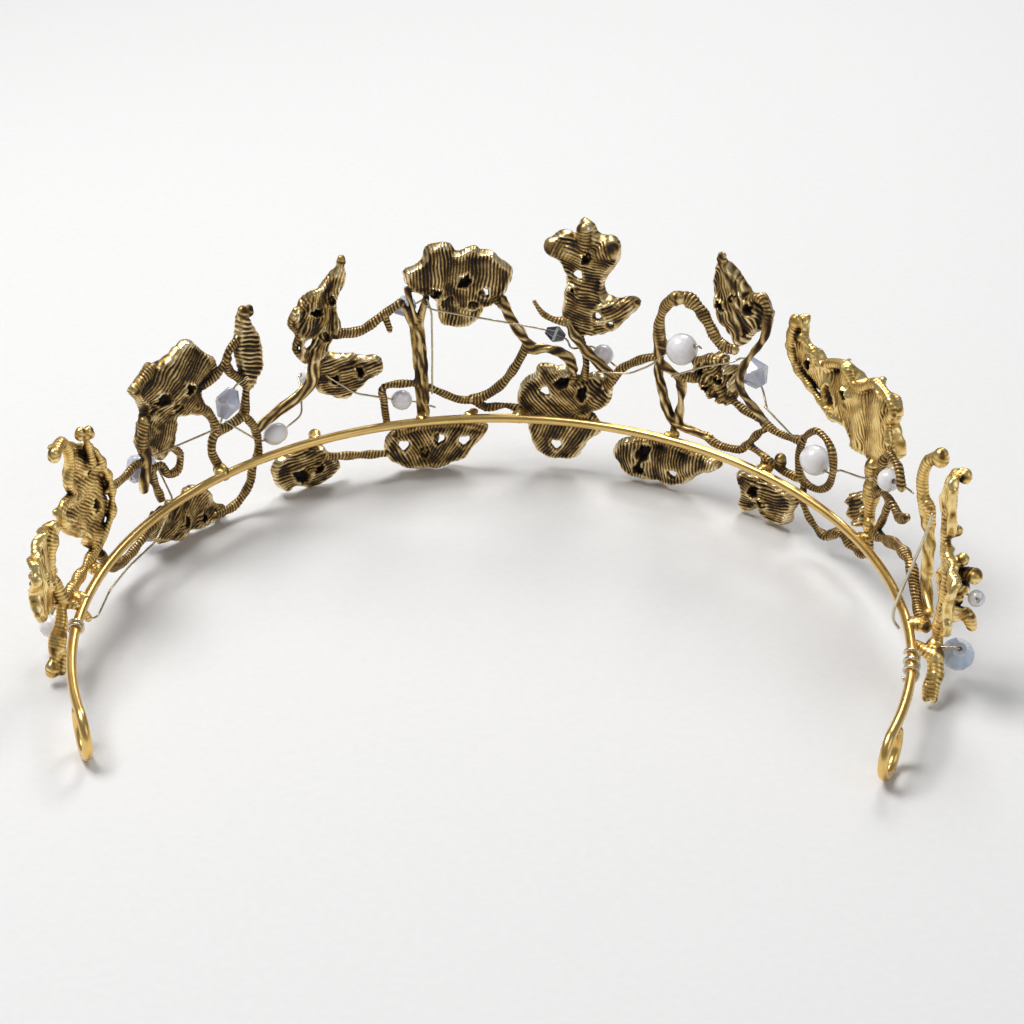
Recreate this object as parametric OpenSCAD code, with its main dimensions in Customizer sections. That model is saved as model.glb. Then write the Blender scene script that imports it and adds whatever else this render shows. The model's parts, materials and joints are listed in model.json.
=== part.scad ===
// Bridal tiara: a sprung wire band with an end loop on each side, cast leaf and
// blossom sprays soldered along its outside, and fine wires threaded with pearls
// and bicone crystals.
//
// The sprays stand on an upright wall around the band. A point on that wall is
// [s, h] or [s, h, o]: s is the way along the wall from the forehead, positive to the
// wearer's right, h is the height above the table, and o is the step out of the wall.

/* [Band] */
// Radius of the band, to the middle of its wire
band_r = 73; // [64:0.5:88]
// Length of the wire between the two end loops
band_len = 286; // [280:1:345]
// Diameter of the band wire
band_wire_d = 1.8; // [1.5:0.1:2.2]
// Height of the middle of the wire at the forehead
band_front_h = 13; // [12:0.1:13.4]
// Radius of an end loop, to the middle of its wire
loop_r = 4.1; // [3.4:0.1:5]
// Angle through which each end is curled
loop_turn = 300; // [240:5:300]

/* [Sprays] */
// Gap between the band wire and the back of the sprays
spray_gap = 0.8; // [0.5:0.1:1.6]
// Thickness of the leaves and blossoms
leaf_t = 1.6; // [1.2:0.1:2]
// Diameter of a main stem
stem_d = 2.2; // [1.8:0.1:2.6]
// Diameter of a fine stem, a tendril or a rim
twig_d = 1.6; // [1.2:0.1:2]
// Diameter of the holes pierced through the blossoms
pit_d = 2; // [1:0.1:2.6]
// Diameter of a solder joint between the band and a spray
solder_d = 2.6; // [2.4:0.1:3.2]

/* [Beads] */
// Diameter of the large pearls
pearl_d = 6.4; // [5:0.1:6.8]
// Diameter of the small pearls
seed_d = 4.4; // [3.6:0.1:4.8]
// Diameter of the large bicone crystals
crystal_d = 6; // [5:0.1:6.4]
// Diameter of the small bicone crystals
chip_d = 4; // [3:0.1:4.4]
// Bore through every bead
bore_d = 0.9; // [0.7:0.05:1.1]

/* [Wires] */
// Diameter of the threading wire
thread_d = 0.4; // [0.3:0.05:0.5]
// Diameter of the lashing wire that is wound on the band
lash_d = 0.6; // [0.5:0.05:0.8]

/* [Hidden] */
// The box around the whole tiara is centred on the origin.
centre_shift = [-1.65, -23.2];

half_angle = deg(band_len / 2 / band_r);
band_end_h = band_wire_d / 2 + 2 * loop_r;
tilt = asin((band_front_h - band_end_h) / (band_r * (1 - cos(half_angle))));
wall_r = band_r + band_wire_d / 2 + spray_gap + leaf_t / 2;
wall_h = 60;
wall_steps = 72;
plate_reach = 8;
stem_sides = 6;
thread_sides = 6;
crystal_sides = 8;
lash_clearance = 0.05;

// Each bead is [s, h, o, diameter, length along its bore, slope of its bore in degrees].
pearl_left_end_at = [-115, 5.6, 3.8, seed_d, seed_d, 60];
crystal_left_side_at = [-78, 17.6, 4.6, crystal_d, crystal_d, 20];
crystal_left_low_at = [-77.8, 3.4, 4, chip_d, chip_d, 10];
crystal_left_stem_at = [-59.4, 25.4, 0, crystal_d - 1, crystal_d, 60];
pearl_left_oval_at = [-49, 15.3, 0, seed_d, seed_d + 1, 15];
pearl_left_centre_at = [-39.5, 23.6, 3.6, seed_d, seed_d, -25];
crystal_arch_at = [-20.3, 35.7, 3.8, chip_d + 0.5, chip_d + 0.5, 10];
pearl_post_at = [-22, 17, 0, seed_d - 0.2, seed_d, -14];
crystal_dark_at = [8.9, 31, 0, chip_d - 0.6, chip_d, -20];
pearl_crown_at = [18, 26.2, 2.4, seed_d, seed_d, -40];
pearl_ring_at = [35, 31.8, 0, pearl_d, pearl_d, 25];
crystal_right_leaf_at = [50.5, 30.8, 1, crystal_d, crystal_d, -50];
pearl_right_ring_at = [67.8, 19, 0, pearl_d - 0.6, pearl_d, -20];
pearl_right_side_at = [91.2, 26.3, 0, seed_d, seed_d, 20];
stone_right_end_at = [122, 20.5, 7.7, chip_d - 1, chip_d - 1, 200];
crystal_right_end_at = [118, 6.2, 6.2, crystal_d, crystal_d, 50];

function deg(a) = a * 180 / PI;
function out_of(p) = len(p) > 2 ? p[2] : 0;
function shifted(p, o) = [p[0], p[1], out_of(p) + o];

// The place in space of a wall point
function on_wall(p) =
    let (a = deg(p[0] / wall_r), r = wall_r + out_of(p))
    [r * sin(a), r * cos(a), p[1]];

// Height of the middle of the band wire at the way s along the wall
function band_h(s) =
    band_front_h - band_r * sin(tilt) * (1 - cos(deg(s / wall_r)));

// The place in space where the band wire turns down into an end loop
function band_end(side) = [
    side * band_r * sin(half_angle),
    band_r * cos(half_angle) * cos(tilt),
    band_end_h
];

// Wall point of the middle of the band wire
function on_band(s, o = 0) = [s, band_h(s), band_r - wall_r + o];

// A step along a bead's bore, as a wall vector
function bore_step(bead, d) = [d * cos(bead[5]), d * sin(bead[5]), 0];
function bead_centre(bead) = [bead[0], bead[1], bead[2]];

// The two wall points where a thread enters and leaves a bead
function through(bead) = [
    for (side = [-1, 1]) bead_centre(bead) + bore_step(bead, side * (bead[4] / 2 + 0.8))
];

// A smooth run through points, with one more point between each two
function smooth(route) = [
    for (i = [0 : len(route) - 1])
        each i == len(route) - 1
            ? [shifted(route[i], 0)]
            : [shifted(route[i], 0), middle(route, i)]
];
function middle(route, i) =
    let (
        a = shifted(route[max(i - 1, 0)], 0),
        b = shifted(route[i], 0),
        c = shifted(route[i + 1], 0),
        d = shifted(route[min(i + 2, len(route) - 1)], 0)
    )
    (9 * (b + c) - a - d) / 16;

module in_place() {
    translate([centre_shift[0], centre_shift[1], 0])
        children();
}

module antique(shade = 0) {
    color([0.48 + shade, 0.36 + shade, 0.14 + shade / 2])
        in_place()
            children();
}

// A round stem that follows wall points, thinning from d1 to d2
module stem(route, d1 = stem_d, d2 = 0) {
    run = smooth(route);
    last = len(run) - 1;
    end_d = d2 > 0 ? d2 : d1;
    for (i = [0 : last - 1])
        hull()
            for (k = [i, i + 1])
                translate(on_wall(run[k]))
                    sphere(d = d1 + (end_d - d1) * k / last, $fn = stem_sides);
}

module knob(p, d) {
    translate(on_wall(p))
        sphere(d = d, $fn = 8);
}

// A leaf or petal cut to an outline from the upright wall, with pierced holes
module plate(outline, pits = [], o = 0) {
    mid = (min([for (p = outline) p[0]]) + max([for (p = outline) p[0]])) / 2;
    intersection() {
        difference() {
            cylinder(r = wall_r + o + leaf_t / 2, h = 2 * wall_h, center = true, $fn = wall_steps);
            cylinder(r = wall_r + o - leaf_t / 2, h = 3 * wall_h, center = true, $fn = wall_steps);
        }
        rotate([0, 0, -deg(mid / wall_r)])
            translate([0, wall_r + plate_reach, 0])
                rotate([90, 0, 0])
                    linear_extrude(2 * plate_reach)
                        difference() {
                            polygon([for (p = outline) [p[0] - mid, p[1]]]);
                            for (p = pits)
                                translate([p[0] - mid, p[1]])
                                    circle(d = pit_d, $fn = 8);
                        }
    }
}

// A thread or lashing: one tube of a round section along wall points
module thread(route, d = thread_d) {
    pts = [for (p = route) on_wall(p)];
    last = len(pts) - 1;
    ways = [
        for (i = [0 : last])
            let (v = pts[min(i + 1, last)] - pts[max(i - 1, 0)]) v / norm(v)
    ];
    rings = [
        for (i = [0 : last])
            let (
                up = abs(ways[i][2]) > 0.9 ? [pts[i][0], pts[i][1], 0] : [0, 0, 1],
                u0 = cross(ways[i], up),
                u = u0 / norm(u0),
                v = cross(u, ways[i])
            )
            for (k = [0 : thread_sides - 1])
                let (a = 360 * k / thread_sides)
                pts[i] + d / 2 * (cos(a) * u + sin(a) * v)
    ];
    n = thread_sides;
    polyhedron(
        points = rings,
        faces = concat(
            [[for (k = [0 : n - 1]) n - 1 - k]],
            [[for (k = [0 : n - 1]) last * n + k]],
            [
                for (i = [0 : last - 1], k = [0 : n - 1])
                    let (j = (k + 1) % n, a = i * n, b = (i + 1) * n)
                    each [[a + k, b + j, b + k], [a + k, a + j, b + j]]
            ]
        )
    );
}

// Turns a shape whose bore lies along X to lie along a bead's bore
module at_bead(bead) {
    in_place()
        translate(on_wall(bead_centre(bead)))
            rotate([0, 0, -deg(bead[0] / wall_r)])
                rotate([0, -bead[5], 0])
                    children();
}

module bore(bead) {
    rotate([0, 90, 0])
        cylinder(d = bore_d, h = 2 * bead[4], center = true, $fn = 32);
}

// A pearl turned about its bore: round, or drawn out along the bore
module pearl(bead) {
    long = bead[4] / 2;
    color([0.93, 0.91, 0.88])
        at_bead(bead)
            rotate([0, 90, 0])
                rotate_extrude($fn = 64)
                    intersection() {
                        if (bead[4] > bead[3])
                            polygon([for (a = [-90 : 7.5 : 90]) [bead[3] / 2 * cos(a), long * sin(a)]]);
                        else
                            circle(d = bead[3], $fn = 64);
                        translate([bore_d / 2, -long])
                            square([long, 2 * long]);
                    }
}

module crystal(bead, tint = [0.78, 0.82, 0.95]) {
    color(tint)
        at_bead(bead)
            difference() {
                hull() {
                    rotate([0, 90, 0])
                        cylinder(d = bead[3], h = 0.3, center = true, $fn = crystal_sides);
                    rotate([0, 90, 0])
                        cylinder(d = bead[3] / 2.6, h = bead[4], center = true, $fn = crystal_sides);
                }
                bore(bead);
            }
}

// The end of the band wire on one side, curled down and back up into a loop
module end_loop(side) {
    color([0.86, 0.66, 0.28])
        in_place()
            translate(band_end(side) - [0, 0, loop_r])
                rotate([0, 0, -side * half_angle])
                    rotate([90, 0, 0])
                        mirror([side > 0 ? 0 : 1, 0, 0])
                            rotate([0, 0, 90 - loop_turn])
                                rotate_extrude(angle = loop_turn, $fn = 96)
                                    translate([loop_r, 0])
                                        circle(d = band_wire_d, $fn = 32);
}

module band_wire() {
    color([0.86, 0.66, 0.28])
        in_place()
            translate([0, 0, band_front_h - band_r * sin(tilt)])
                rotate([tilt, 0, 0])
                    rotate([0, 0, 90 - half_angle])
                        rotate_extrude(angle = 2 * half_angle, $fn = 180)
                            translate([band_r, 0])
                                circle(d = band_wire_d, $fn = 32);
}

module left_end_loop() { end_loop(-1); }
module right_end_loop() { end_loop(1); }

module left_end_leaf() {
    antique(0.1) {
        plate([
            [-113, 39.4], [-111.5, 40], [-108, 37], [-105.6, 39.5], [-102.6, 38.9],
            [-100.5, 36], [-98, 36], [-97.6, 31.7], [-94.4, 27.4], [-93.7, 21.7],
            [-96, 16.5], [-100, 13], [-104, 16.5], [-109, 23], [-113.5, 25.2],
            [-109, 27.5], [-107.6, 31.7], [-110, 35]
        ]);
        stem([[-105.4, 39, 0.4], [-102, 32, 0.8], [-99, 24, 0.6], [-99.8, 15, 0.2], [-103.6, 11.2]], twig_d);
        stem([[-112.6, 39, 0.6], [-109.4, 33, 0.8], [-107, 26, 0.4], [-102, 18, 0.2]], twig_d);
        stem([[-100.4, 14.4], [-106, 11.2, 0.2], [-112, 10.4, 0.4], [-117, 10, 0.6]]);
        stem([[-117, 10, 0.6], [-120, 7.4, 1.2], [-123.5, 4, 1.8], [-125, 2, 2]], stem_d, twig_d);
        stem([[-120, 7.4, 1.2], [-121, 5, 0.4], [-123.5, 2.6, 0.2]], twig_d);
    }
}

module left_end_flower() {
    antique(0.1) {
        plate([
            [-117, 13], [-114.6, 17], [-115.4, 21], [-113.4, 23.6], [-116, 26.6], [-120, 28],
            [-123, 26], [-126.4, 26.4], [-128.6, 23.4], [-127, 20], [-128.4, 16.6],
            [-125.4, 13.4], [-121, 12]
        ], [[-119, 17], [-123.4, 21]], 2.6);
        stem([[-116, 11.6, 1], [-117, 16, 2], [-118.6, 22, 3.4], [-118, 27.6, 3.6]], twig_d);
        stem([[-118.6, 16, 2.8], [-122.4, 18, 4.2], [-127, 17, 5]], twig_d);
        stem([[-118.6, 22, 3.4], [-122, 24, 4.6], [-125.6, 26, 5]], twig_d);
    }
}

module left_side_stem() {
    antique(0.05) {
        stem([[-94.6, 23.4], [-91, 22.4], [-88, 22], [-83.2, 22.8], [-81, 20], [-79.6, 17], [-78, 12.4]], twig_d);
        stem([[-80.6, 19.4], [-77.4, 19.4], [-75.6, 16.6], [-72.8, 16.4], [-72, 19.4], [-74, 21.6]], twig_d);
    }
}

module left_side_flower() {
    antique() {
        plate([
            [-82.5, 37.4], [-77.5, 40], [-75, 39], [-70.7, 40.3], [-66.8, 41], [-64.3, 39],
            [-62, 36], [-60.6, 33], [-62.6, 29], [-65, 24.8], [-68, 25.4], [-71.4, 24],
            [-75, 22.6], [-79.6, 25.3], [-83, 27], [-79.8, 30.3], [-81.4, 34.6]
        ], [[-75.7, 32.4], [-69.3, 32.6], [-71, 28]]);
        stem([[-82, 36.6, 0.6], [-76, 37.6, 1.4], [-70, 37.8, 1.4], [-64, 36.4, 0.8]], twig_d);
        stem([[-82, 27.6, 0.6], [-76, 27.4, 1.6], [-71, 30, 1.6], [-65, 31, 1], [-60.7, 31.6], [-57.4, 34.4]], twig_d);
    }
}

module left_spike_leaf() {
    antique() {
        plate([
            [-54.4, 43.6], [-55.6, 40], [-56.6, 36.6], [-55.4, 33], [-54.6, 28.6],
            [-51.6, 31.5], [-50.7, 35.3], [-52, 40]
        ], [[-53.4, 36.2]]);
        knob([-54.3, 43.9], 2.6);
        stem([[-56, 39.4], [-58.4, 36.2], [-58.8, 32.6], [-56.4, 29.4], [-54.8, 28]], twig_d);
        stem([[-54.8, 28.4], [-55.4, 24], [-56, 21.8], [-59.3, 20.6], [-62.9, 20], [-64, 16.7], [-62.5, 12.8]], stem_d, twig_d);
        stem([[-56, 21.8], [-53.6, 18], [-53, 13], [-54.6, 9.6], [-55.7, 6], [-59.3, 2.8], [-64.3, 2.4]], twig_d);
    }
}

module left_low_leaf() {
    antique() {
        plate([
            [-79, 4.2], [-76, 1.6], [-73, 0], [-61.4, 0], [-62.6, 3.4], [-64.3, 5],
            [-66.4, 8], [-71.4, 9.6], [-76.4, 9]
        ], [[-72.6, 4.8], [-67.4, 3.6]]);
        stem([[-99, 11.6], [-95, 6.4], [-90.4, 5.4], [-86.4, 6], [-81, 7.8], [-76.4, 7.4]], stem_d, twig_d);
        stem([[-78.4, 4.5, 0.8], [-73, 2.7, 1.2], [-66, 2.1, 1]], twig_d);
    }
}

module left_centre_leaf() {
    antique() {
        plate([
            [-33.3, 49.4], [-35.6, 46.4], [-38.8, 44.4], [-42, 41.6], [-44, 39.6], [-42.8, 35],
            [-43, 30], [-39.6, 28.4], [-36.6, 30.6], [-34.2, 34.6], [-34.6, 40], [-32.6, 44.6]
        ], [[-40.8, 32.8], [-39.6, 39.6]]);
        plate([
            [-40.6, 26.4], [-34.6, 27.4], [-30, 27.2], [-25.8, 24.6], [-29.4, 22.6],
            [-33.4, 18.4], [-36.4, 21], [-41, 23.8]
        ]);
        knob([-33.4, 49.2], 2.2);
        stem([[-38, 30, 0.6], [-37.4, 37, 1], [-34.6, 44, 0.8]], twig_d);
        stem([[-39.6, 29.4], [-40.5, 25.6], [-41.4, 22.8], [-43.5, 21.6], [-47.7, 20.4], [-52.6, 17.8]]);
        stem([[-35, 33.8], [-29.9, 33.5], [-25.6, 36], [-21.8, 38.4]], stem_d, twig_d);
        stem([[-25, 36.2], [-24, 32.8]], twig_d);
    }
}

module left_low_flower() {
    antique() {
        plate([
            [-49.4, 8.4], [-48, 5.4], [-48.4, 2.4], [-45, 1.6], [-42.4, 0], [-36.6, 0],
            [-36.4, 2.6], [-34, 4], [-36.6, 6.6], [-38.2, 9.6], [-42.6, 10.4], [-46.6, 10]
        ], [[-43.8, 4.2]]);
        stem([[-47.6, 3, 0.8], [-42, 2, 1.4], [-35.4, 4, 0.8]], twig_d);
        stem([[-39, 7.4], [-34, 6.4], [-28.4, 5.6], [-25.6, 5.4]], twig_d);
        stem([[-41, 6, 0.6], [-40.6, 9, 0.4], [-41, 11, -0.2]], twig_d);
        stem([[-39, 2, 0.8], [-38.6, 7, 0.6]], twig_d);
    }
}

module arch_flower() {
    antique() {
        plate([
            [-20.6, 42.6], [-19.4, 45], [-14.9, 48.9], [-12.7, 49.9], [-9, 48.1], [-5, 47.5],
            [-1.6, 45.3], [0.2, 42.4], [-0.9, 39.6], [-2.6, 37], [-6.3, 34.6], [-8.4, 32],
            [-13.4, 32], [-12.6, 35.6], [-14.9, 38], [-17.7, 39.4]
        ], [[-9.1, 42.8], [-5.2, 39.9], [-12.4, 37.4], [-8.4, 36]]);
        stem([[-20, 43, 0.6], [-15, 46, 1.4], [-9, 45.4, 1.6], [-2, 43, 0.8]], twig_d);
        for (side = [-0.7, 0.7])
            stem([[-19 + side, 40.4], [-18.4 + side, 31.7], [-17.9 + side, 20.3], [-17.7 + side, 13.4]], twig_d);
        stem([[-16.3, 19.2], [-10.6, 16.2], [-7.4, 16]], twig_d);
        stem([[-18.4, 20.4], [-25.4, 20.5], [-25.6, 17], [-25.2, 12.6]], twig_d);
    }
}

module centre_low_leaf() {
    antique() {
        plate([
            [-25.8, 4.4], [-22.6, 1.6], [-19, 0], [-13.6, 0], [-9.4, 2.4], [-5.8, 6.7],
            [-4.4, 9.8], [-11, 10.8], [-18, 10.8], [-24, 9.6]
        ], [[-22.4, 6.2], [-18.6, 8], [-14.6, 8], [-9.4, 6.6]]);
        stem([[-25, 5, 0.8], [-19, 3, 1.4], [-12, 3, 1.4], [-6, 8, 0.8]], twig_d);
        stem([[-23.4, 9.2, 0.2], [-17.6, 10.4, 0.3], [-10, 10.3, 0.3], [-5.4, 9.3, 0.2]], twig_d);
    }
}

module centre_arch() {
    antique() {
        stem([[-1.6, 37.8], [0, 34], [2.7, 29.8], [4.4, 27.6], [6.3, 27.6], [9, 27.4], [11.6, 26], [12.7, 23.6]]);
        stem([[3.4, 28.6], [1.3, 24], [-1.6, 19.6], [-5, 16.9], [-7.6, 16]]);
        stem([[-7.6, 16], [-5, 14.2], [-1, 14.6], [1.8, 13.8]], twig_d);
        stem([[-2, 37], [-3.6, 39]], twig_d);
    }
}

module crown_flower() {
    antique() {
        plate([
            [14.3, 56.2], [12.6, 54.4], [12.8, 52], [9.2, 52.2], [6.8, 50.2], [6.8, 47.6],
            [9.6, 46], [10.6, 43.4], [10.2, 38], [10.4, 34], [12.8, 31.2], [16.3, 31],
            [20.6, 32.8], [23.4, 36], [25.7, 40.1], [21, 39.4], [18.4, 40.2], [19.2, 44.6],
            [21.4, 48.6], [20.4, 52], [16.6, 52.2], [16.4, 54.6]
        ], [[13.4, 44.2], [17.4, 36], [14.8, 48]]);
        stem([[9, 49.4, 0.8], [13.4, 47, 1.6], [18.8, 50, 0.8]], twig_d);
        stem([[14.4, 54, 0.8], [14.6, 47, 1.6], [14.4, 38, 1.2], [24.6, 39.2, 0.6]], twig_d);
        stem([[4.9, 37.4], [6.3, 35.6], [8.4, 34.4], [11.4, 34]], 1.2, twig_d);
        stem([[13.6, 32], [14.8, 28.4], [15.2, 25], [14.8, 21.8]], twig_d);
    }
}

module centre_low_flower() {
    antique() {
        plate([
            [1.6, 18.4], [4.6, 21], [5.6, 23.2], [10.2, 23.4], [13, 21.6], [17, 22.6],
            [20.2, 20], [19.6, 16], [16.4, 13.6], [18.6, 9.6], [15.4, 8.4], [14.4, 4.4],
            [10, 2.2], [5.4, 3.4], [4, 7.4], [5.6, 11], [1.8, 13]
        ], [[7, 18.6], [14, 17.6], [9.4, 6.6]]);
        stem([[2.6, 18, 0.8], [9, 16, 1.6], [18.6, 19, 0.8]], twig_d);
        stem([[9, 22.6, 0.8], [9.4, 14, 1.6], [9, 3.6, 0.8]], twig_d);
        stem([[19.2, 20.6], [21, 22.8], [22.7, 25.2], [26.3, 27.6], [29, 28.8], [30.2, 29]], stem_d, twig_d);
        stem([[12.8, 21.4], [12.7, 22.4]], twig_d);
    }
}

module right_ring() {
    antique() {
        stem([[30, 33], [29.2, 37], [30.6, 40.4], [33, 43], [36.3, 43.9], [39, 42.4], [41.2, 39.9], [43, 37.4], [46.6, 36.4]]);
        stem([[30, 33.6], [30.2, 30.2], [30.2, 26], [31.2, 21.6], [32.4, 18], [34, 15.6], [37.7, 14.6], [42, 14.2]], stem_d, twig_d);
        stem([[30.9, 27], [33.4, 26.2], [35.2, 24.6], [35.4, 20.3], [34.8, 15.6]], twig_d);
    }
}

module right_tall_leaf() {
    antique() {
        plate([
            [42.8, 53.5], [41.2, 50], [41, 46], [42.4, 41.7], [45.6, 38.4], [47.8, 35.6],
            [50.6, 37.6], [52.6, 40.6], [54.2, 43.2], [52.6, 46.6], [49.6, 47.4], [47.6, 49],
            [45.4, 49.6]
        ], [[49.6, 43.6], [45, 45]]);
        knob([42.9, 53.2], 2.2);
        stem([[43, 52, 0.8], [44.4, 46, 1.4], [47.6, 39, 0.8]], twig_d);
        stem([[53.4, 42.4], [54.4, 38], [55.4, 33.6], [55, 28.4], [53.8, 24.6], [54.6, 21.4]], twig_d);
        stem([[54.4, 21.6], [57.4, 20.8], [61, 21], [64, 21.6]], twig_d);
    }
}

module right_inner_leaf() {
    antique() {
        plate([
            [37, 25.4], [39.6, 23], [43.6, 22.6], [46.4, 24], [46.2, 28], [43.6, 31],
            [40.4, 33.4], [39.4, 29.6]
        ]);
        stem([[38, 25.6, 0.4], [42, 27, 1], [45, 25.4, 0.6]], twig_d);
        stem([[46, 24.2], [50, 22.6], [53, 22.2]], twig_d);
        stem([[35, 25.6], [38, 26]], twig_d);
        stem([[40.6, 32.6, 0.4], [42, 27, 1]], twig_d);
    }
}

module right_low_leaf() {
    antique() {
        plate([
            [20.2, 4.4], [24, 1.4], [28.4, 0], [34.6, 0], [40.6, 4], [43, 5.6], [40, 8.6],
            [35, 10.4], [29, 11], [25, 9.8]
        ], [[27, 7.2], [33.8, 4]]);
        stem([[21, 4.6, 0.8], [28, 4, 1.4], [36, 6.4, 1.2], [42, 5.8, 0.8]], twig_d);
        stem([[26, 9.4, 0], [32, 10.8, 0], [38, 9.4, 0]], twig_d);
        stem([[33, 10, 0], [34, 14.4, 0]], twig_d);
    }
}

module right_low_stem() {
    antique() {
        stem([[41, 14.4], [44, 13.2], [49, 13.8], [50.6, 15.4], [54.6, 14.6], [59.6, 13.2], [63.6, 13.4]], twig_d);
        stem([[50.6, 15.4], [53, 18.8], [54.6, 20.2]], twig_d);
        knob([58.8, 14.8], 2.6);
        stem([[55, 14.4], [54.6, 9]], twig_d);
    }
}

module right_low_flower() {
    antique() {
        plate([
            [47.8, 8], [49, 4.4], [48.4, 1.4], [51, 0], [55.4, 0], [59.6, 2.4], [62.2, 5],
            [60.4, 9], [56, 9.8], [51.6, 9.6]
        ], [[53.4, 4.8]]);
        stem([[48.6, 7.4, 0.8], [52.4, 7.6, 1.4], [57, 7, 1.4], [61.6, 5.4, 0.8]], twig_d);
        stem([[50.4, 1.6, 0.8], [52.4, 7.6, 1.4], [55, 9, 0.8]], twig_d);
    }
}

module right_side_flower() {
    antique(0.08) {
        plate([
            [60.3, 46], [58.2, 42], [58.2, 38], [61, 35], [66, 31.7], [70, 29.6], [74.6, 28],
            [80.3, 27.2], [85.6, 25], [88.6, 27.6], [90, 31.4], [89, 35.3], [90.2, 39.6],
            [86, 42.4], [81.7, 41.4], [77.4, 40.3], [74.6, 41.7], [71.7, 41.4], [68, 40.6],
            [63.8, 41], [61.9, 44.6]
        ], [[67, 36.6], [75, 35], [83, 34]]);
        stem([[60.4, 45, 0.6], [62, 39, 1.2], [70, 34, 2], [78, 32, 2], [86, 29, 1]], twig_d);
        stem([[71, 40, 0.8], [72, 34, 2], [73, 30, 1]], twig_d);
        stem([[84, 41, 0.8], [81, 34, 2]], twig_d);
        stem([[84.6, 26], [85.4, 21], [85.4, 16], [86, 12.4]]);
    }
}

module right_pearl_ring() {
    antique() {
        stem([[64.4, 22.4], [63.4, 18], [64.6, 13.6], [69, 13.2], [72.2, 15.8], [73, 20.3], [71.4, 24], [67.6, 25.2], [64.4, 22.4]], twig_d);
        stem([[65.4, 12.8], [65.3, 9], [68, 5.6], [72.4, 4.4], [76, 6.8], [80, 6.4], [85, 7], [86.4, 11.6]], twig_d);
        stem([[73, 5, 0.8], [76, 7, 1.4], [79.6, 7, 0.8]], stem_d);
    }
}

module right_side_twigs() {
    antique(0.05) {
        plate([[78.6, 12.6], [82.4, 12], [84.4, 14], [84, 18.6], [80.4, 18.4], [78.4, 16]]);
        stem([[84, 14.6], [86.4, 13], [92, 14.2], [98, 16], [104, 16], [108, 13], [112, 11], [116, 10.4, 0.6]], stem_d);
        stem([[86, 20], [89, 22.6], [93.6, 22.4], [97, 21.6], [100, 23.4]], twig_d);
        stem([[85.6, 20.4], [87.4, 24], [88.2, 28], [90, 31], [94.4, 30.6], [96.4, 27.6]], twig_d);
        stem([[88, 13.6], [90.4, 18], [92, 22.2]], twig_d);
    }
}

module right_end_spike() {
    antique(0.1) {
        knob([106, 39, 2.4], 3);
        stem([[106, 39, 2.4], [104.4, 36.4, 1], [104, 32, 0.4], [105.6, 26, 0.4], [107.4, 20, 0.4], [107.6, 13.6, 0.2]], stem_d);
        stem([[104.8, 29, 0.4], [107.6, 30, 1.6], [109.4, 27.4, 2], [108, 22.6, 1]], twig_d);
    }
}

module right_end_flower() {
    antique(0.1) {
        plate([
            [110.4, 31], [111.6, 36], [113, 39.6], [116.6, 41], [117, 38], [115.6, 34.6],
            [117, 31], [115.4, 27.6], [112, 26.6]
        ], [], 4);
        plate([
            [112.6, 14.4], [111.4, 18.6], [113.4, 21.6], [112.6, 25], [115.6, 28.4],
            [119.4, 29.4], [122.4, 27], [125.6, 26.4], [127, 22.6], [125, 19.4],
            [126, 15.6], [122.6, 13], [117, 12.4]
        ], [[116, 19], [121.6, 17.4]], 4);
        stem([[114.4, 40, 4.4], [113.6, 33, 5], [115, 27, 4.6], [117, 21, 4], [116.6, 14, 2], [117, 9.6, 1]], twig_d);
        stem([[117, 20, 4.6], [121, 23, 6.2], [124.6, 24.6, 6.6]], twig_d);
        stem([[117, 9.6, 1], [121, 7.4, 1.4], [125, 3.6, 1.8], [126.6, 1.8, 1.8]], stem_d, twig_d);
        stem([[121.6, 6.8, 1.2], [122.4, 4, 0.4], [124.4, 2, 0.2]], twig_d);
    }
}

module thread_run(route) {
    color([0.85, 0.84, 0.8])
        in_place()
            thread(route);
}

module thread_left() {
    thread_run(concat(
        [on_band(-119.6, -1.4), [-108, 6.4, -3.6], [-94.6, 7, -3.4], [-84, 6.4, -2.2], [-78.6, 9.6, -1.4], [-81.2, 14, 1.6]],
        through(crystal_left_side_at),
        [[-70, 21.6, 1.6], [-64.6, 20.6, -1.6]],
        through(crystal_left_stem_at),
        [[-55.4, 30.4, -1.6]]
    ));
}
module thread_left_centre() {
    thread_run(concat(
        [[-57.2, 17.6, -1.6], [-54.4, 15.2, -1.6]],
        through(pearl_left_oval_at),
        [[-44.4, 19, -1.8], [-42.9, 23, 1]],
        through(pearl_left_centre_at),
        [[-34.4, 22.2, 1.8], [-30, 19.6, -1.6], [-26.6, 18.4, -1.5]],
        through(pearl_post_at),
        [[-15.4, 15.4, -1.4]]
    ));
}
module thread_arch() {
    thread_run(concat(
        [[-15.6, 20, -1.4], [-15.6, 36.4, -1.4], [-17, 37.4, -1.4], [-9, 34.4, -1.4], [2, 32, -1.6]],
        through(crystal_dark_at),
        [[13.2, 28.6, 1]],
        through(pearl_crown_at),
        [[22.4, 24, 1.4]]
    ));
}
module thread_centre() {
    thread_run(concat(
        [[23.6, 23.6, -1.6], [28.6, 27.6, -1.6]],
        through(pearl_ring_at),
        [[42, 32.4, -1.6], [46, 34.6, -0.4]],
        through(crystal_right_leaf_at),
        [[56, 25.2, -1.5]]
    ));
}
module thread_right() {
    thread_run(concat(
        [[57.4, 23.6, -1.6], [61, 22.2, -1.6]],
        through(pearl_right_ring_at),
        [[75, 20, -1.6], [81.7, 22.4, -1.6]],
        through(pearl_right_side_at),
        [[98, 28.4, 0.2], [101.8, 29.4, 0]]
    ));
}
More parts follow.
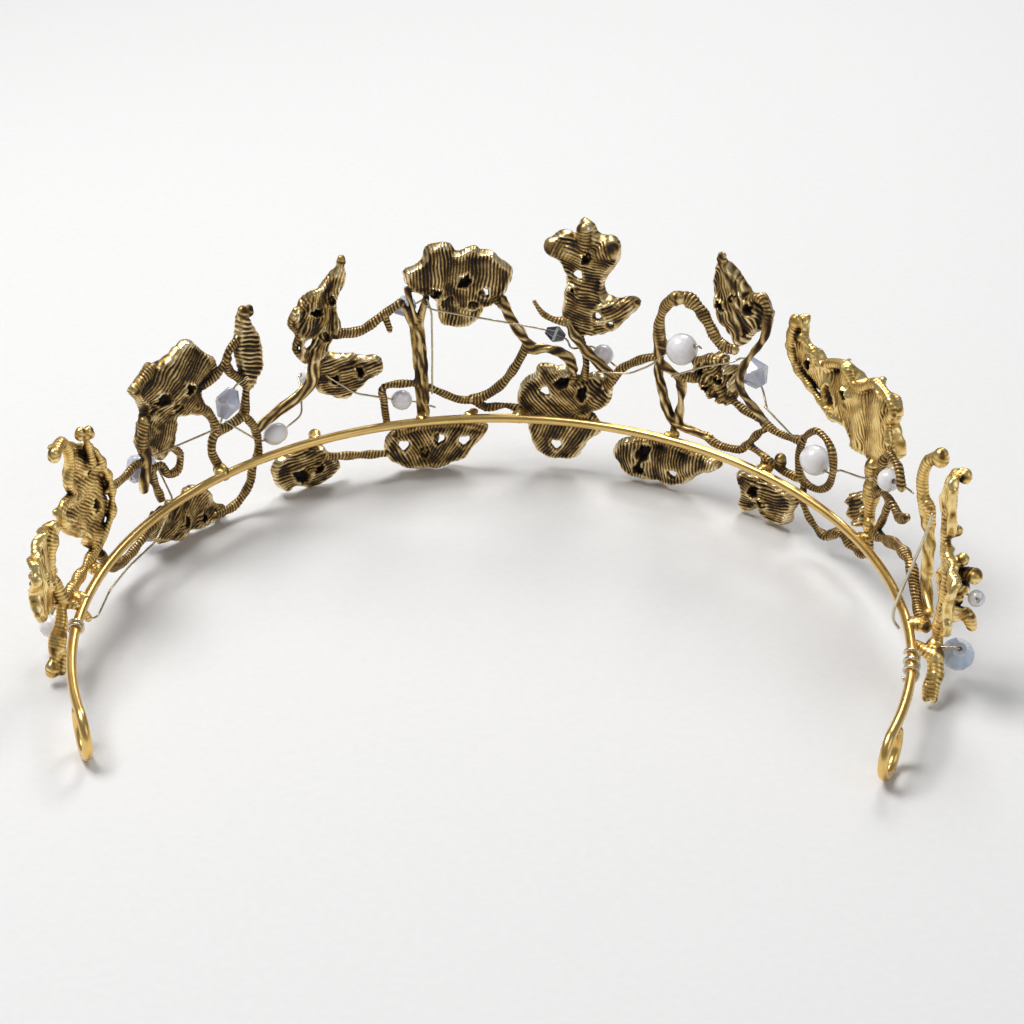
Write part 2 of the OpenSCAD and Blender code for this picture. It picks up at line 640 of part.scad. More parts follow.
module thread_right_end() {
    color([0.9, 0.86, 0.78])
        in_place()
            thread([[109.6, 30, 0.6], [109.6, 24, -1.6], [109.6, 15, -3.8], [110, 11, -4.2], [111.4, 8.6, -3.8]], lash_d);
}
module bead_pins() {
    color([0.85, 0.84, 0.8])
        in_place()
            for (pin = [
                [pearl_left_end_at, [-112.4, 10.2, 1.2]],
                [crystal_left_low_at, [-73, 5.5, 0.6]],
                [crystal_arch_at, [-15.6, 39.6, 0.6]],
                [stone_right_end_at, [118, 19, 4.6]],
                [crystal_right_end_at, [119.4, 8.6, 2]]
            ])
                thread(concat(through(pin[0]), [pin[1]]));
}

// A wire wound on the band: turns around it, starting at the way s along the wall
module lashing(s, turns, pitch) {
    steps = 16;
    coil_r = (band_wire_d + lash_d) / 2 + lash_clearance;
    thread([
        for (i = [0 : turns * steps])
            let (a = 360 * i / steps)
            on_band(s + pitch * i / steps) + coil_r * [0, sin(a), -cos(a)]
    ], lash_d);
}

module lashing_left() {
    color([0.9, 0.86, 0.78])
        in_place()
            lashing(-123, 1.5, 1.2);
}
module lashing_right() {
    color([0.9, 0.86, 0.78])
        in_place()
            lashing(124, 3, 2.6);
}

// The band's solder joints, each a blob between the band wire and a spray
module solder_joints() {
    color([0.6, 0.46, 0.2])
        in_place()
            for (s = [-113.2, -103.4, -63, -41, -18, -8, 1.8, 34, 56, 86, 115])
                hull() {
                    translate(on_wall(on_band(s, 0.6)))
                        sphere(d = solder_d, $fn = 8);
                    translate(on_wall([s, band_h(s), -0.6]))
                        sphere(d = solder_d, $fn = 8);
                }
}

module pearl_left_end() { pearl(pearl_left_end_at); }
module crystal_left_side() { crystal(crystal_left_side_at); }
module crystal_left_low() { crystal(crystal_left_low_at, [0.8, 0.76, 0.92]); }
module crystal_left_stem() { crystal(crystal_left_stem_at); }
module pearl_left_oval() { pearl(pearl_left_oval_at); }
module pearl_left_centre() { pearl(pearl_left_centre_at); }
module crystal_arch() { crystal(crystal_arch_at); }
module pearl_post() { pearl(pearl_post_at); }
module crystal_dark() { crystal(crystal_dark_at, [0.22, 0.26, 0.33]); }
module pearl_crown() { pearl(pearl_crown_at); }
module pearl_ring() { pearl(pearl_ring_at); }
module crystal_right_leaf() { crystal(crystal_right_leaf_at); }
module pearl_right_ring() { pearl(pearl_right_ring_at); }
module pearl_right_side() { pearl(pearl_right_side_at); }
module stone_right_end() { pearl(stone_right_end_at); }
module crystal_right_end() { crystal(crystal_right_end_at, [0.72, 0.84, 0.96]); }

band_wire();
left_end_loop();
right_end_loop();
left_end_leaf();
left_end_flower();
left_side_stem();
left_side_flower();
left_spike_leaf();
left_low_leaf();
left_centre_leaf();
left_low_flower();
arch_flower();
centre_low_leaf();
centre_arch();
crown_flower();
centre_low_flower();
right_ring();
right_tall_leaf();
right_inner_leaf();
right_low_leaf();
right_low_stem();
right_low_flower();
right_side_flower();
right_pearl_ring();
right_side_twigs();
right_end_spike();
right_end_flower();
pearl_left_end();
crystal_left_side();
crystal_left_low();
crystal_left_stem();
pearl_left_oval();
pearl_left_centre();
crystal_arch();
pearl_post();
crystal_dark();
pearl_crown();
pearl_ring();
crystal_right_leaf();
pearl_right_ring();
pearl_right_side();
stone_right_end();
crystal_right_end();
thread_left();
thread_left_centre();
thread_arch();
thread_centre();
thread_right();
thread_right_end();
bead_pins();
lashing_left();
lashing_right();
solder_joints();
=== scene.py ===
"""Bridal tiara: a sprung gold band, cast leaf and blossom sprays, and beads threaded on fine wire.

Every cast spray is modelled on the upright wall that stands around the band. A point on
that wall is (s, h, o) in millimetres: s is the way along the wall from the forehead,
positive to the wearer's right, h the height above the table, and o the step outwards.
"""

import json
import math

import bmesh
import bpy
import numpy as np
from mathutils import Matrix, Vector


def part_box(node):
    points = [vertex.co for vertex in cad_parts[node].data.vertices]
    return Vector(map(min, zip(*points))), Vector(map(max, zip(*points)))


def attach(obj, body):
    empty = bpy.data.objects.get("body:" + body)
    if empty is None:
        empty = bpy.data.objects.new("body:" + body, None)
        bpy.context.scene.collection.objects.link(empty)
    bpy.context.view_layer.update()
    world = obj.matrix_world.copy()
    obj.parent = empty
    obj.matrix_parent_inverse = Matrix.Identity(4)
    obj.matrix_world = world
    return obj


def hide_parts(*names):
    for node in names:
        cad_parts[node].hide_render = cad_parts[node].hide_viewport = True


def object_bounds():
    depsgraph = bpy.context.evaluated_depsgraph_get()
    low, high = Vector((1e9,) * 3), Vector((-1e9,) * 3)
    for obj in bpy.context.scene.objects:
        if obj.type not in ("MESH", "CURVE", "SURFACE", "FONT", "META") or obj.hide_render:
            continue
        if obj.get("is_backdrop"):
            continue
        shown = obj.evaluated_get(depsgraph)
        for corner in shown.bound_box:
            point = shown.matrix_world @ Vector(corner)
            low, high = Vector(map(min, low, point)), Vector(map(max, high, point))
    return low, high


bl_info = {
    "name": "Bridal tiara",
    "version": (1, 0, 0),
    "blender": (4, 5, 0),
    "location": "3D View > Sidebar > Tiara",
    "description": "A sprung band with cast sprays, pearls, crystals and fine wires",
    "category": "Object",
}

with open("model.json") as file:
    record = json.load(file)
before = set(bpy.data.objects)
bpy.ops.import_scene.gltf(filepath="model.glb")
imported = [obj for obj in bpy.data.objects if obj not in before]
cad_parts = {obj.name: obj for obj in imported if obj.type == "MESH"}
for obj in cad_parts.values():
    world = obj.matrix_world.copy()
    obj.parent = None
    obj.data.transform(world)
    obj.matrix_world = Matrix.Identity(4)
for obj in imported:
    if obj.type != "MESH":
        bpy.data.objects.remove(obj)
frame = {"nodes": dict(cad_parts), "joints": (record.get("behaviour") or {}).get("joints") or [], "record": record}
CAD_BOX = [list(corner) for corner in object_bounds()]
SLOTS = {row["node"]: row["material_slot"] for row in frame["record"]["subparts"]}
SPINS = {joint["child"]: joint for joint in frame["joints"]}
BODY = "tiara"
MM = 0.001

BAND_LOW, BAND_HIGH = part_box("band_wire")
LOOP_LOW, LOOP_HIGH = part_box("left_end_loop")
WIRE_D = 1.8
BAND_OUTER = (BAND_HIGH.x - BAND_LOW.x) / 2 / MM
BAND_R = BAND_OUTER - WIRE_D / 2
BAND_TOP = BAND_HIGH.z / MM - WIRE_D / 2
LOOP_R = (LOOP_HIGH.z - LOOP_LOW.z) / 2 / MM - WIRE_D / 2
LOOP_Z = (LOOP_HIGH.z + LOOP_LOW.z) / 2 / MM
BAND_LEN = 286.0
HALF_TURN = BAND_LEN / 2 / BAND_R
TILT = math.asin((BAND_TOP - LOOP_Z - LOOP_R) / (BAND_R * (1 - math.cos(HALF_TURN))))
CENTRE = (
    (BAND_HIGH.x + BAND_LOW.x) / 2 / MM,
    BAND_HIGH.y / MM - WIRE_D / 2 - BAND_R * math.cos(TILT),
)
WALL_R = BAND_OUTER + 1.6

BLOSSOM_SEED, BEAD_SEED, CRYSTAL_SEED, SOLDER_SEED = 11, 50, 70, 500
FAR = 3.0  # distances beyond this are not kept
BLEND = 0.45  # reach of the fillet where cast parts meet
OUTLINE_STEP, ROUTE_STEP = 0.8, 0.7
CORNER = 0.9  # half width over which an outline's corners are rounded
THINNEST = 0.28  # half thickness of the thinnest metal
TABLE = 0.02  # lowest point of a casting


# ---------------------------------------------------------------- places

def on_wall(points):
    """Wall points in millimetres to places in metres."""
    p = np.atleast_2d(np.asarray(points, float))
    turn = p[:, 0] / WALL_R
    reach = WALL_R + p[:, 2]
    return MM * np.stack(
        [reach * np.sin(turn) + CENTRE[0], reach * np.cos(turn) + CENTRE[1], p[:, 1]], 1
    )


def band_height(s):
    return BAND_TOP - BAND_R * math.sin(TILT) * (1 - math.cos(s / WALL_R))


def along_band(s, out=0.0, up=0.0):
    """Wall point beside the middle of the band wire."""
    return (s, band_height(s) + up, BAND_R - WALL_R + out)


def curve_through(points, step, closed=False):
    """A Catmull-Rom curve through points, as points about a step apart."""
    p = np.asarray(points, float)
    n = len(p)
    if n < 3 and not closed:
        count = max(int(np.linalg.norm(p[-1] - p[0]) / step), 1)
        return p[0] + np.linspace(0, 1, count + 1)[:, None] * (p[-1] - p[0])
    made = []
    for i in range(n if closed else n - 1):
        a, b, c, d = (
            (p[(i + k) % n] for k in (-1, 0, 1, 2))
            if closed
            else (p[min(max(i + k, 0), n - 1)] for k in (-1, 0, 1, 2))
        )
        count = max(int(np.linalg.norm(c - b) / step), 1)
        t = (np.arange(count) / count)[:, None]
        made.append(
            0.5 * (2 * b + (c - a) * t + (2 * a - 5 * b + 4 * c - d) * t**2
                   + (3 * b - a - 3 * c + d) * t**3)
        )
    if not closed:
        made.append(p[-1:])
    return np.concatenate(made)


def swell(x, y, z, size, seed):
    """A smooth uneven number from about -1 to 1 that changes over the given size."""
    draw = np.random.default_rng(seed)
    total = 0.0
    for _ in range(5):
        way = draw.normal(size=3)
        way *= 2 * math.pi / size / np.linalg.norm(way)
        total = total + np.sin(way[0] * x + way[1] * y + way[2] * z + draw.uniform(0, 6.3))
    return total / 3.2


# ---------------------------------------------------------------- cast metal

def petal(outline, grain=90, holes=(), pits=(), o=0.0, cup=0.0, bow=0.0, ruffle=0.4, lobes=7,
          t=1.15, depth=0.32, pace=0.64, rim=0.34, wave=1.0, fan=0.0, fold=0.3, fold_size=4.8):
    """A leaf or petal: its outline, the way its ridges run in degrees, and how it curves."""
    return dict(locals(), kind="petal")


def stalk(route, d, tip=None, pace=0.66, around=2, depth=0.2, flat=1.0, lump=0.18):
    """A stem: wall points, its diameter at each end, and the turns of its rope-like ridges."""
    route = [tuple(p) + (0.0,) * (3 - len(p)) for p in route]
    tip = d if tip is None else tip
    return dict(locals(), kind="stalk")


def bud(place, d, depth=0.1):
    """A small round knob."""
    p = tuple(place) + (0.0,) * (3 - len(place))
    return stalk([p, (p[0] + 0.05, p[1] + 0.3 * d, p[2])], d, d * 0.9, depth=depth, lump=0.15)


def signed_distance(u, v, loop):
    """Distance to a closed outline, negative inside it."""
    best = np.full(u.shape, 1e9)
    inside = np.zeros(u.shape, bool)
    for (ax, ay), (bx, by) in zip(loop, np.roll(loop, -1, 0)):
        ex, ey = bx - ax, by - ay
        wx, wy = u - ax, v - ay
        t = np.clip((wx * ex + wy * ey) / (ex * ex + ey * ey + 1e-12), 0, 1)
        best = np.minimum(best, (wx - ex * t) ** 2 + (wy - ey * t) ** 2)
        if ay != by:
            crosses = ((ay > v) != (by > v)) & (u < ax + (v - ay) * ex / ey)
            inside ^= crosses
    return np.where(inside, -1, 1) * np.sqrt(best)


def rounded(field, reach):
    """A field averaged over a square of the given half width, which rounds sharp corners."""
    side = int(reach)
    wide = 2 * side + 1
    for axis in (0, 1):
        pads = [(0, 0), (0, 0)]
        pads[axis] = (side + 1, side)
        total = np.cumsum(np.pad(field, pads, mode="edge"), axis)
        upper = np.take(total, np.arange(wide, total.shape[axis]), axis)
        lower = np.take(total, np.arange(0, total.shape[axis] - wide), axis)
        field = (upper - lower) / wide
    return field


def ragged_gap(u, v, waves, height, small):
    """Distance from the middle of a hole, made uneven all round."""
    turn = np.arctan2(v[0], u[0])
    return np.hypot(u[0], v[0]) * (
        1 + height * np.sin(waves * turn + u[1]) + small * np.sin(5 * turn + v[1]))


def petal_tables(p, cell, seed):
    """Solid edge, middle, half thickness, relief with painted shade, and slope over a petal's own flat pattern."""
    loop = curve_through(p["outline"], OUTLINE_STEP, closed=True)
    pivot = loop.mean(0)
    loop = loop - pivot
    low, high = loop.min(0) - FAR, loop.max(0) + FAR
    u, v = np.meshgrid(np.arange(low[0], high[0], cell), np.arange(low[1], high[1], cell),
                       indexing="ij")

    def uneven(size, step):
        return swell(u, v, 0, size, seed + step)

    edge = rounded(signed_distance(u, v, loop), CORNER / cell)
    edge = edge + 0.28 * uneven(4.4, 0) + 0.14 * uneven(1.9, 6)
    outer = (1 - np.clip(-edge / max(-edge.min(), 0.5), 0, 1)) ** 2
    way = math.radians(p["grain"])
    across = -u * math.sin(way) + v * math.cos(way)
    along = u * math.cos(way) + v * math.sin(way)
    half_wide = np.abs(across[edge < 0]).max()

    # how the middle of the sheet stands off the wall
    curl = outer * np.clip(np.hypot(u, v) / 2.5, 0, 1) ** 2
    pleat = np.sin(2 * math.pi * across / p["fold_size"] + 2.4 * uneven(12.0, 8))
    middle = p["o"] + p["cup"] * outer + p["bow"] * (across / half_wide) ** 2
    middle += p["ruffle"] * curl * np.sin(p["lobes"] * np.arctan2(v, u) + seed)
    middle += p["fold"] * pleat * (0.35 + 0.65 * outer)
    middle += 0.25 * uneven(9.0, 1)

    # fine ridges along the grain, and a rolled rim
    phase = across / p["pace"] * (1 - p["fan"] * along) + p["wave"] * (
        0.8 * uneven(11.0, 2) + 0.25 * uneven(3.2, 3))
    crest = 0.5 + 0.5 * np.cos(2 * math.pi * phase)
    crest *= np.clip(0.92 + 0.3 * uneven(2.2, 4), 0.5, 1)
    bead = np.exp(-((edge + 0.5) / 0.5) ** 2) * (1 + 0.5 * uneven(2.1, 9))
    half = p["t"] / 2 + p["depth"] * (crest - 0.6) + p["rim"] * bead
    half += 0.08 * uneven(2.4, 5)
    solid = edge - 0.35 * p["depth"] * (crest - 0.5)
    # crests and the rolled rim are worn gold; the pleat term is painted shade, darker in the fold valleys
    lit = 0.08 + crest * 0.78 - 0.12 * pleat + 0.4 * np.clip(bead, 0, 1)

    for hu, hv, r in p["holes"]:
        gap = ragged_gap((u - hu + pivot[0], hu), (v - hv + pivot[1], hv), 3, 0.12, 0.06)
        solid = np.maximum(solid, r - gap)
        lip = np.exp(-((gap - r - 0.35) / 0.35) ** 2)
        half += 0.2 * lip
        lit += 0.3 * lip
    for hu, hv, r in p["pits"]:
        gap = ragged_gap((u - hu + pivot[0], hu), (v - hv + pivot[1], hv), 2, 0.16, 0.1)
        sunk = np.exp(-((gap / r) ** 4))
        lip = np.exp(-((gap - 1.25 * r) / 0.35) ** 2)
        middle += 1.3 * sunk - 0.15 * lip
        half += 0.2 * lip
        # the pits are painted nearly black, as painted shade in the hollow together with patina; the lip is worn
        # gold
        lit = lit * (1 - 0.95 * sunk) + 0.35 * lip
    slope = np.sqrt(1 + sum(g**2 for g in np.gradient(middle, cell)))
    tables = [solid, middle, np.clip(half, THINNEST, None), np.clip(lit, 0, 1), slope]
    return pivot, low, np.stack(tables)


def petal_field(p, spray, cell, seed):
    """Adds a petal to a spray's distance field."""
    cell = cell * 0.75
    pivot, low, tables = petal_tables(p, cell, seed)
    top = np.array(tables.shape[1:]) - 1
    start, end = pivot + low, pivot + (low + top * cell)
    window, (s, h, o) = spray.window((*start, tables[1].min() - 2),
                                     (*end, tables[1].max() + 2))
    if window is None:
        return
    top = top - 0.001
    gu, gv = (s - pivot[0] - low[0]) / cell, (h - pivot[1] - low[1]) / cell
    off = (gu < 0) | (gv < 0) | (gu > top[0]) | (gv > top[1])
    gu, gv = np.clip(gu, 0, top[0]), np.clip(gv, 0, top[1])
    i, j = gu.astype(np.int32), gv.astype(np.int32)
    fu, fv = (gu - i).astype(np.float32), (gv - j).astype(np.float32)
    solid, middle, half, relief, slope = (
        (t[i, j] * (1 - fu) + t[i + 1, j] * fu) * (1 - fv)
        + (t[i, j + 1] * (1 - fu) + t[i + 1, j + 1] * fu) * fv
        for t in tables.astype(np.float32)
    )
    bevel = half * 0.85
    w = solid + bevel
    q = np.abs(o - middle) / slope - half + bevel
    field = (np.minimum(np.maximum(w, q), 0)
             + np.sqrt(np.maximum(w, 0) ** 2 + np.maximum(q, 0) ** 2) - bevel)
    field = np.where(off, FAR, field)
    spray.add(window, field, np.broadcast_to(relief, field.shape))


def stalk_field(p, spray, seed):
    """Adds a stem to a spray's distance field."""
    run = curve_through(p["route"], ROUTE_STEP)
    lengths = np.concatenate([[0], np.cumsum(np.linalg.norm(np.diff(run, axis=0), axis=1))])
    total = max(lengths[-1], 1e-6)
    thick = max(p["d"], p["tip"]) / 2
    margin = thick * 1.4 + 1.8
    window, (s, h, o) = spray.window(run.min(0) - margin, run.max(0) + margin)
    if window is None:
        return
    shape = np.broadcast_shapes(s.shape, h.shape, o.shape)
    best = np.full(shape, 99.0, np.float32)
    way = np.zeros(shape, np.float32)
    turn = np.zeros(shape, np.float32)
    axes = (s[:, 0, 0], h[0, :, 0], o[0, 0, :])
    for i in range(len(run) - 1):
        a, b = run[i], run[i + 1]
        e = b - a
        length = max(np.linalg.norm(e), 1e-6)
        t_way = e / length
        low, high = np.minimum(a, b) - margin, np.maximum(a, b) + margin
        cut = tuple(slice(*np.searchsorted(axis, ends)) for axis, ends in
                    zip(axes, zip(low, high)))
        ps = axes[0][cut[0], None, None] - a[0]
        ph = axes[1][None, cut[1], None] - a[1]
        po = axes[2][None, None, cut[2]] - a[2]
        t = np.clip((ps * e[0] + ph * e[1] + po * e[2]) / length**2, 0, 1)
        rs, rh, ro = ps - t * e[0], ph - t * e[1], (po - t * e[2]) * p["flat"]
        d = np.sqrt(rs**2 + rh**2 + ro**2)
        side = np.cross(t_way, (0.0, 0.0, 1.0))
        side /= max(np.linalg.norm(side), 1e-6)
        lift = np.cross(side, t_way)
        nearer = d < best[cut]
        best[cut] = np.where(nearer, d, best[cut])
        way[cut] = np.where(nearer, lengths[i] + t * length, way[cut])
        angle = np.arctan2(rs * lift[0] + rh * lift[1] + ro * lift[2],
                           rs * side[0] + rh * side[1] + ro * side[2])
        turn[cut] = np.where(nearer, angle, turn[cut])
    share = way / total
    radius = (p["d"] + (p["tip"] - p["d"]) * share) / 2
    radius = radius * (1 + p["lump"] * swell(way, seed * 1.7, 0, 3.4, seed))
    phase = way / p["pace"] + p["around"] * turn / (2 * math.pi)
    phase = phase + 0.3 * swell(way, turn, 0, 4.0, seed + 1)
    crest = 0.5 + 0.5 * np.cos(2 * math.pi * phase)
    crest = crest * np.clip(0.9 + 0.3 * swell(way, turn * 2, 0, 2.5, seed + 2), 0.4, 1)
    spray.add(window, best - radius - p["depth"] * (crest - 0.6),
              np.clip(0.17 + 0.65 * crest, 0, 1))


CORNERS = [(i, j, k) for i in (0, 1) for j in (0, 1) for k in (0, 1)]


class Spray:
    """A lump of cast metal, kept as the distance to its surface at steps over the wall."""

    def __init__(self, low, high, cell):
        self.cell = cell
        self.low = np.asarray(low, float)
        self.axes = [np.arange(a, b + cell, cell) for a, b in zip(low, high)]
        shape = tuple(len(axis) for axis in self.axes)
        self.field = np.full(shape, FAR, np.float32)
        self.relief = np.zeros(shape, np.float32)

    def window(self, low, high):
        """The steps between two corners, and their wall places."""
        cut = tuple(slice(*np.searchsorted(axis, (a, b)))
                    for axis, a, b in zip(self.axes, low, high))
        if any(c.stop - c.start < 2 for c in cut):
            return None, (None,) * 3
        s, h, o = (axis[c] for axis, c in zip(self.axes, cut))
        return cut, (s[:, None, None], h[None, :, None], o[None, None, :])

    def add(self, window, field, relief):
        """Joins more metal on with a soft fillet."""
        old = self.field[window]
        new = np.minimum(field, FAR).astype(np.float32)
        mix = np.clip(0.5 + 0.5 * (old - new) / BLEND, 0, 1)
        self.field[window] = old + (new - old) * mix - BLEND * mix * (1 - mix)
        self.relief[window] = self.relief[window] * (1 - mix) + relief * mix

    def sample(self, grid, points):
        """The value of a grid at wall points, between its steps."""
        g = (points - self.low) / self.cell
        g = np.clip(g, 0, np.array(grid.shape) - 1.001)
        i = g.astype(np.int32)
        f = (g - i).astype(np.float32)
        total = 0.0
        for step in CORNERS:
            x, y, z = (f[:, k] if step[k] else 1 - f[:, k] for k in range(3))
            total = total + x * y * z * grid[tuple((i + step).T)]
        return total

    def skin(self):
        """The surface as wall points and four-sided faces."""
        solid = self.field < 0
        solid[0], solid[-1], solid[:, 0], solid[:, -1] = False, False, False, False
        solid[:, :, 0], solid[:, :, -1] = False, False
        n = np.array(solid.shape) - 1
        count = sum(solid[i:i + n[0], j:j + n[1], k:k + n[2]].astype(np.int8)
                    for i, j, k in CORNERS)
        active = (count > 0) & (count < 8)
        cells = np.argwhere(active)
        number = np.full(active.shape, -1, np.int64)
        number[active] = np.arange(len(cells))
        total, hits = np.zeros((len(cells), 3)), np.zeros(len(cells))
        for a in CORNERS:
            for axis in range(3):
                if a[axis]:
                    continue
                b = tuple(1 if k == axis else a[k] for k in range(3))
                ia, ib = tuple((cells + a).T), tuple((cells + b).T)
                fa, fb = self.field[ia], self.field[ib]
                cross = solid[ia] != solid[ib]
                t = np.clip(fa / np.where(fa == fb, 1, fa - fb), 0.02, 0.98)
                point = np.array(a) + t[:, None] * (np.array(b) - np.array(a))
                total += np.where(cross[:, None], point, 0)
                hits += cross
        points = self.low + (cells + total / hits[:, None]) * self.cell
        faces = []
        for axis in range(3):
            x, y = (axis + 1) % 3, (axis + 2) % 3
            first, second = [slice(None)] * 3, [slice(None)] * 3
            first[axis], second[axis] = slice(0, -1), slice(1, None)
            a, b = solid[tuple(first)], solid[tuple(second)]
            place = np.argwhere(a != b)
            place = place[(place[:, x] > 0) & (place[:, y] > 0)]
            dx, dy = np.zeros(3, int), np.zeros(3, int)
            dx[x], dy[y] = 1, 1
            quad = np.stack([number[tuple(c.T)] for c in
                             (place, place - dx, place - dx - dy, place - dy)], 1)
            flip = a[tuple(place.T)]
            quad[~flip] = quad[~flip][:, ::-1]
            faces.append(quad)
        return points, np.concatenate(faces)

    def openness(self, points):
        """How open to the air each surface point is, from 0 in a crevice to 1."""
        step = 0.6 * self.cell
        normal = np.stack([
            self.sample(self.field, points + step * d) - self.sample(self.field, points - step * d)
            for d in np.eye(3)
        ], 1)
        normal /= np.linalg.norm(normal, axis=1, keepdims=True) + 1e-9
        total = 0.0
        for reach in (0.5, 1.1, 2.0):
            total = total + np.clip(
                self.sample(self.field, points + normal * reach) / reach, 0, 1)
        return total / 3


def cast(parts, cell, seed):
    """Wall points, faces, ridge height with painted shade, and openness of one casting."""
    corners = []
    for p in parts:
        if p["kind"] == "petal":
            pts = np.array(p["outline"], float)
            pad = 3.2 + sum(abs(p[key]) for key in ("cup", "bow", "ruffle", "o"))
            corners += [(*(pts.min(0) - 1.6), -pad), (*(pts.max(0) + 1.6), pad)]
        else:
            pts = np.array(p["route"], float)
            pad = max(p["d"], p["tip"]) / 2 * 1.3 + 0.9
            corners += [pts.min(0) - pad, pts.max(0) + pad]
    spray = Spray(np.min(corners, 0), np.max(corners, 0), cell)
    for k, p in enumerate(parts):
        if p["kind"] == "petal":
            petal_field(p, spray, cell, seed + 7 * k)
        else:
            stalk_field(p, spray, seed + 7 * k)
    points, faces = spray.skin()
    points[:, 1] = np.maximum(points[:, 1], TABLE)
    return points, faces, spray.sample(spray.relief, points), spray.openness(points)


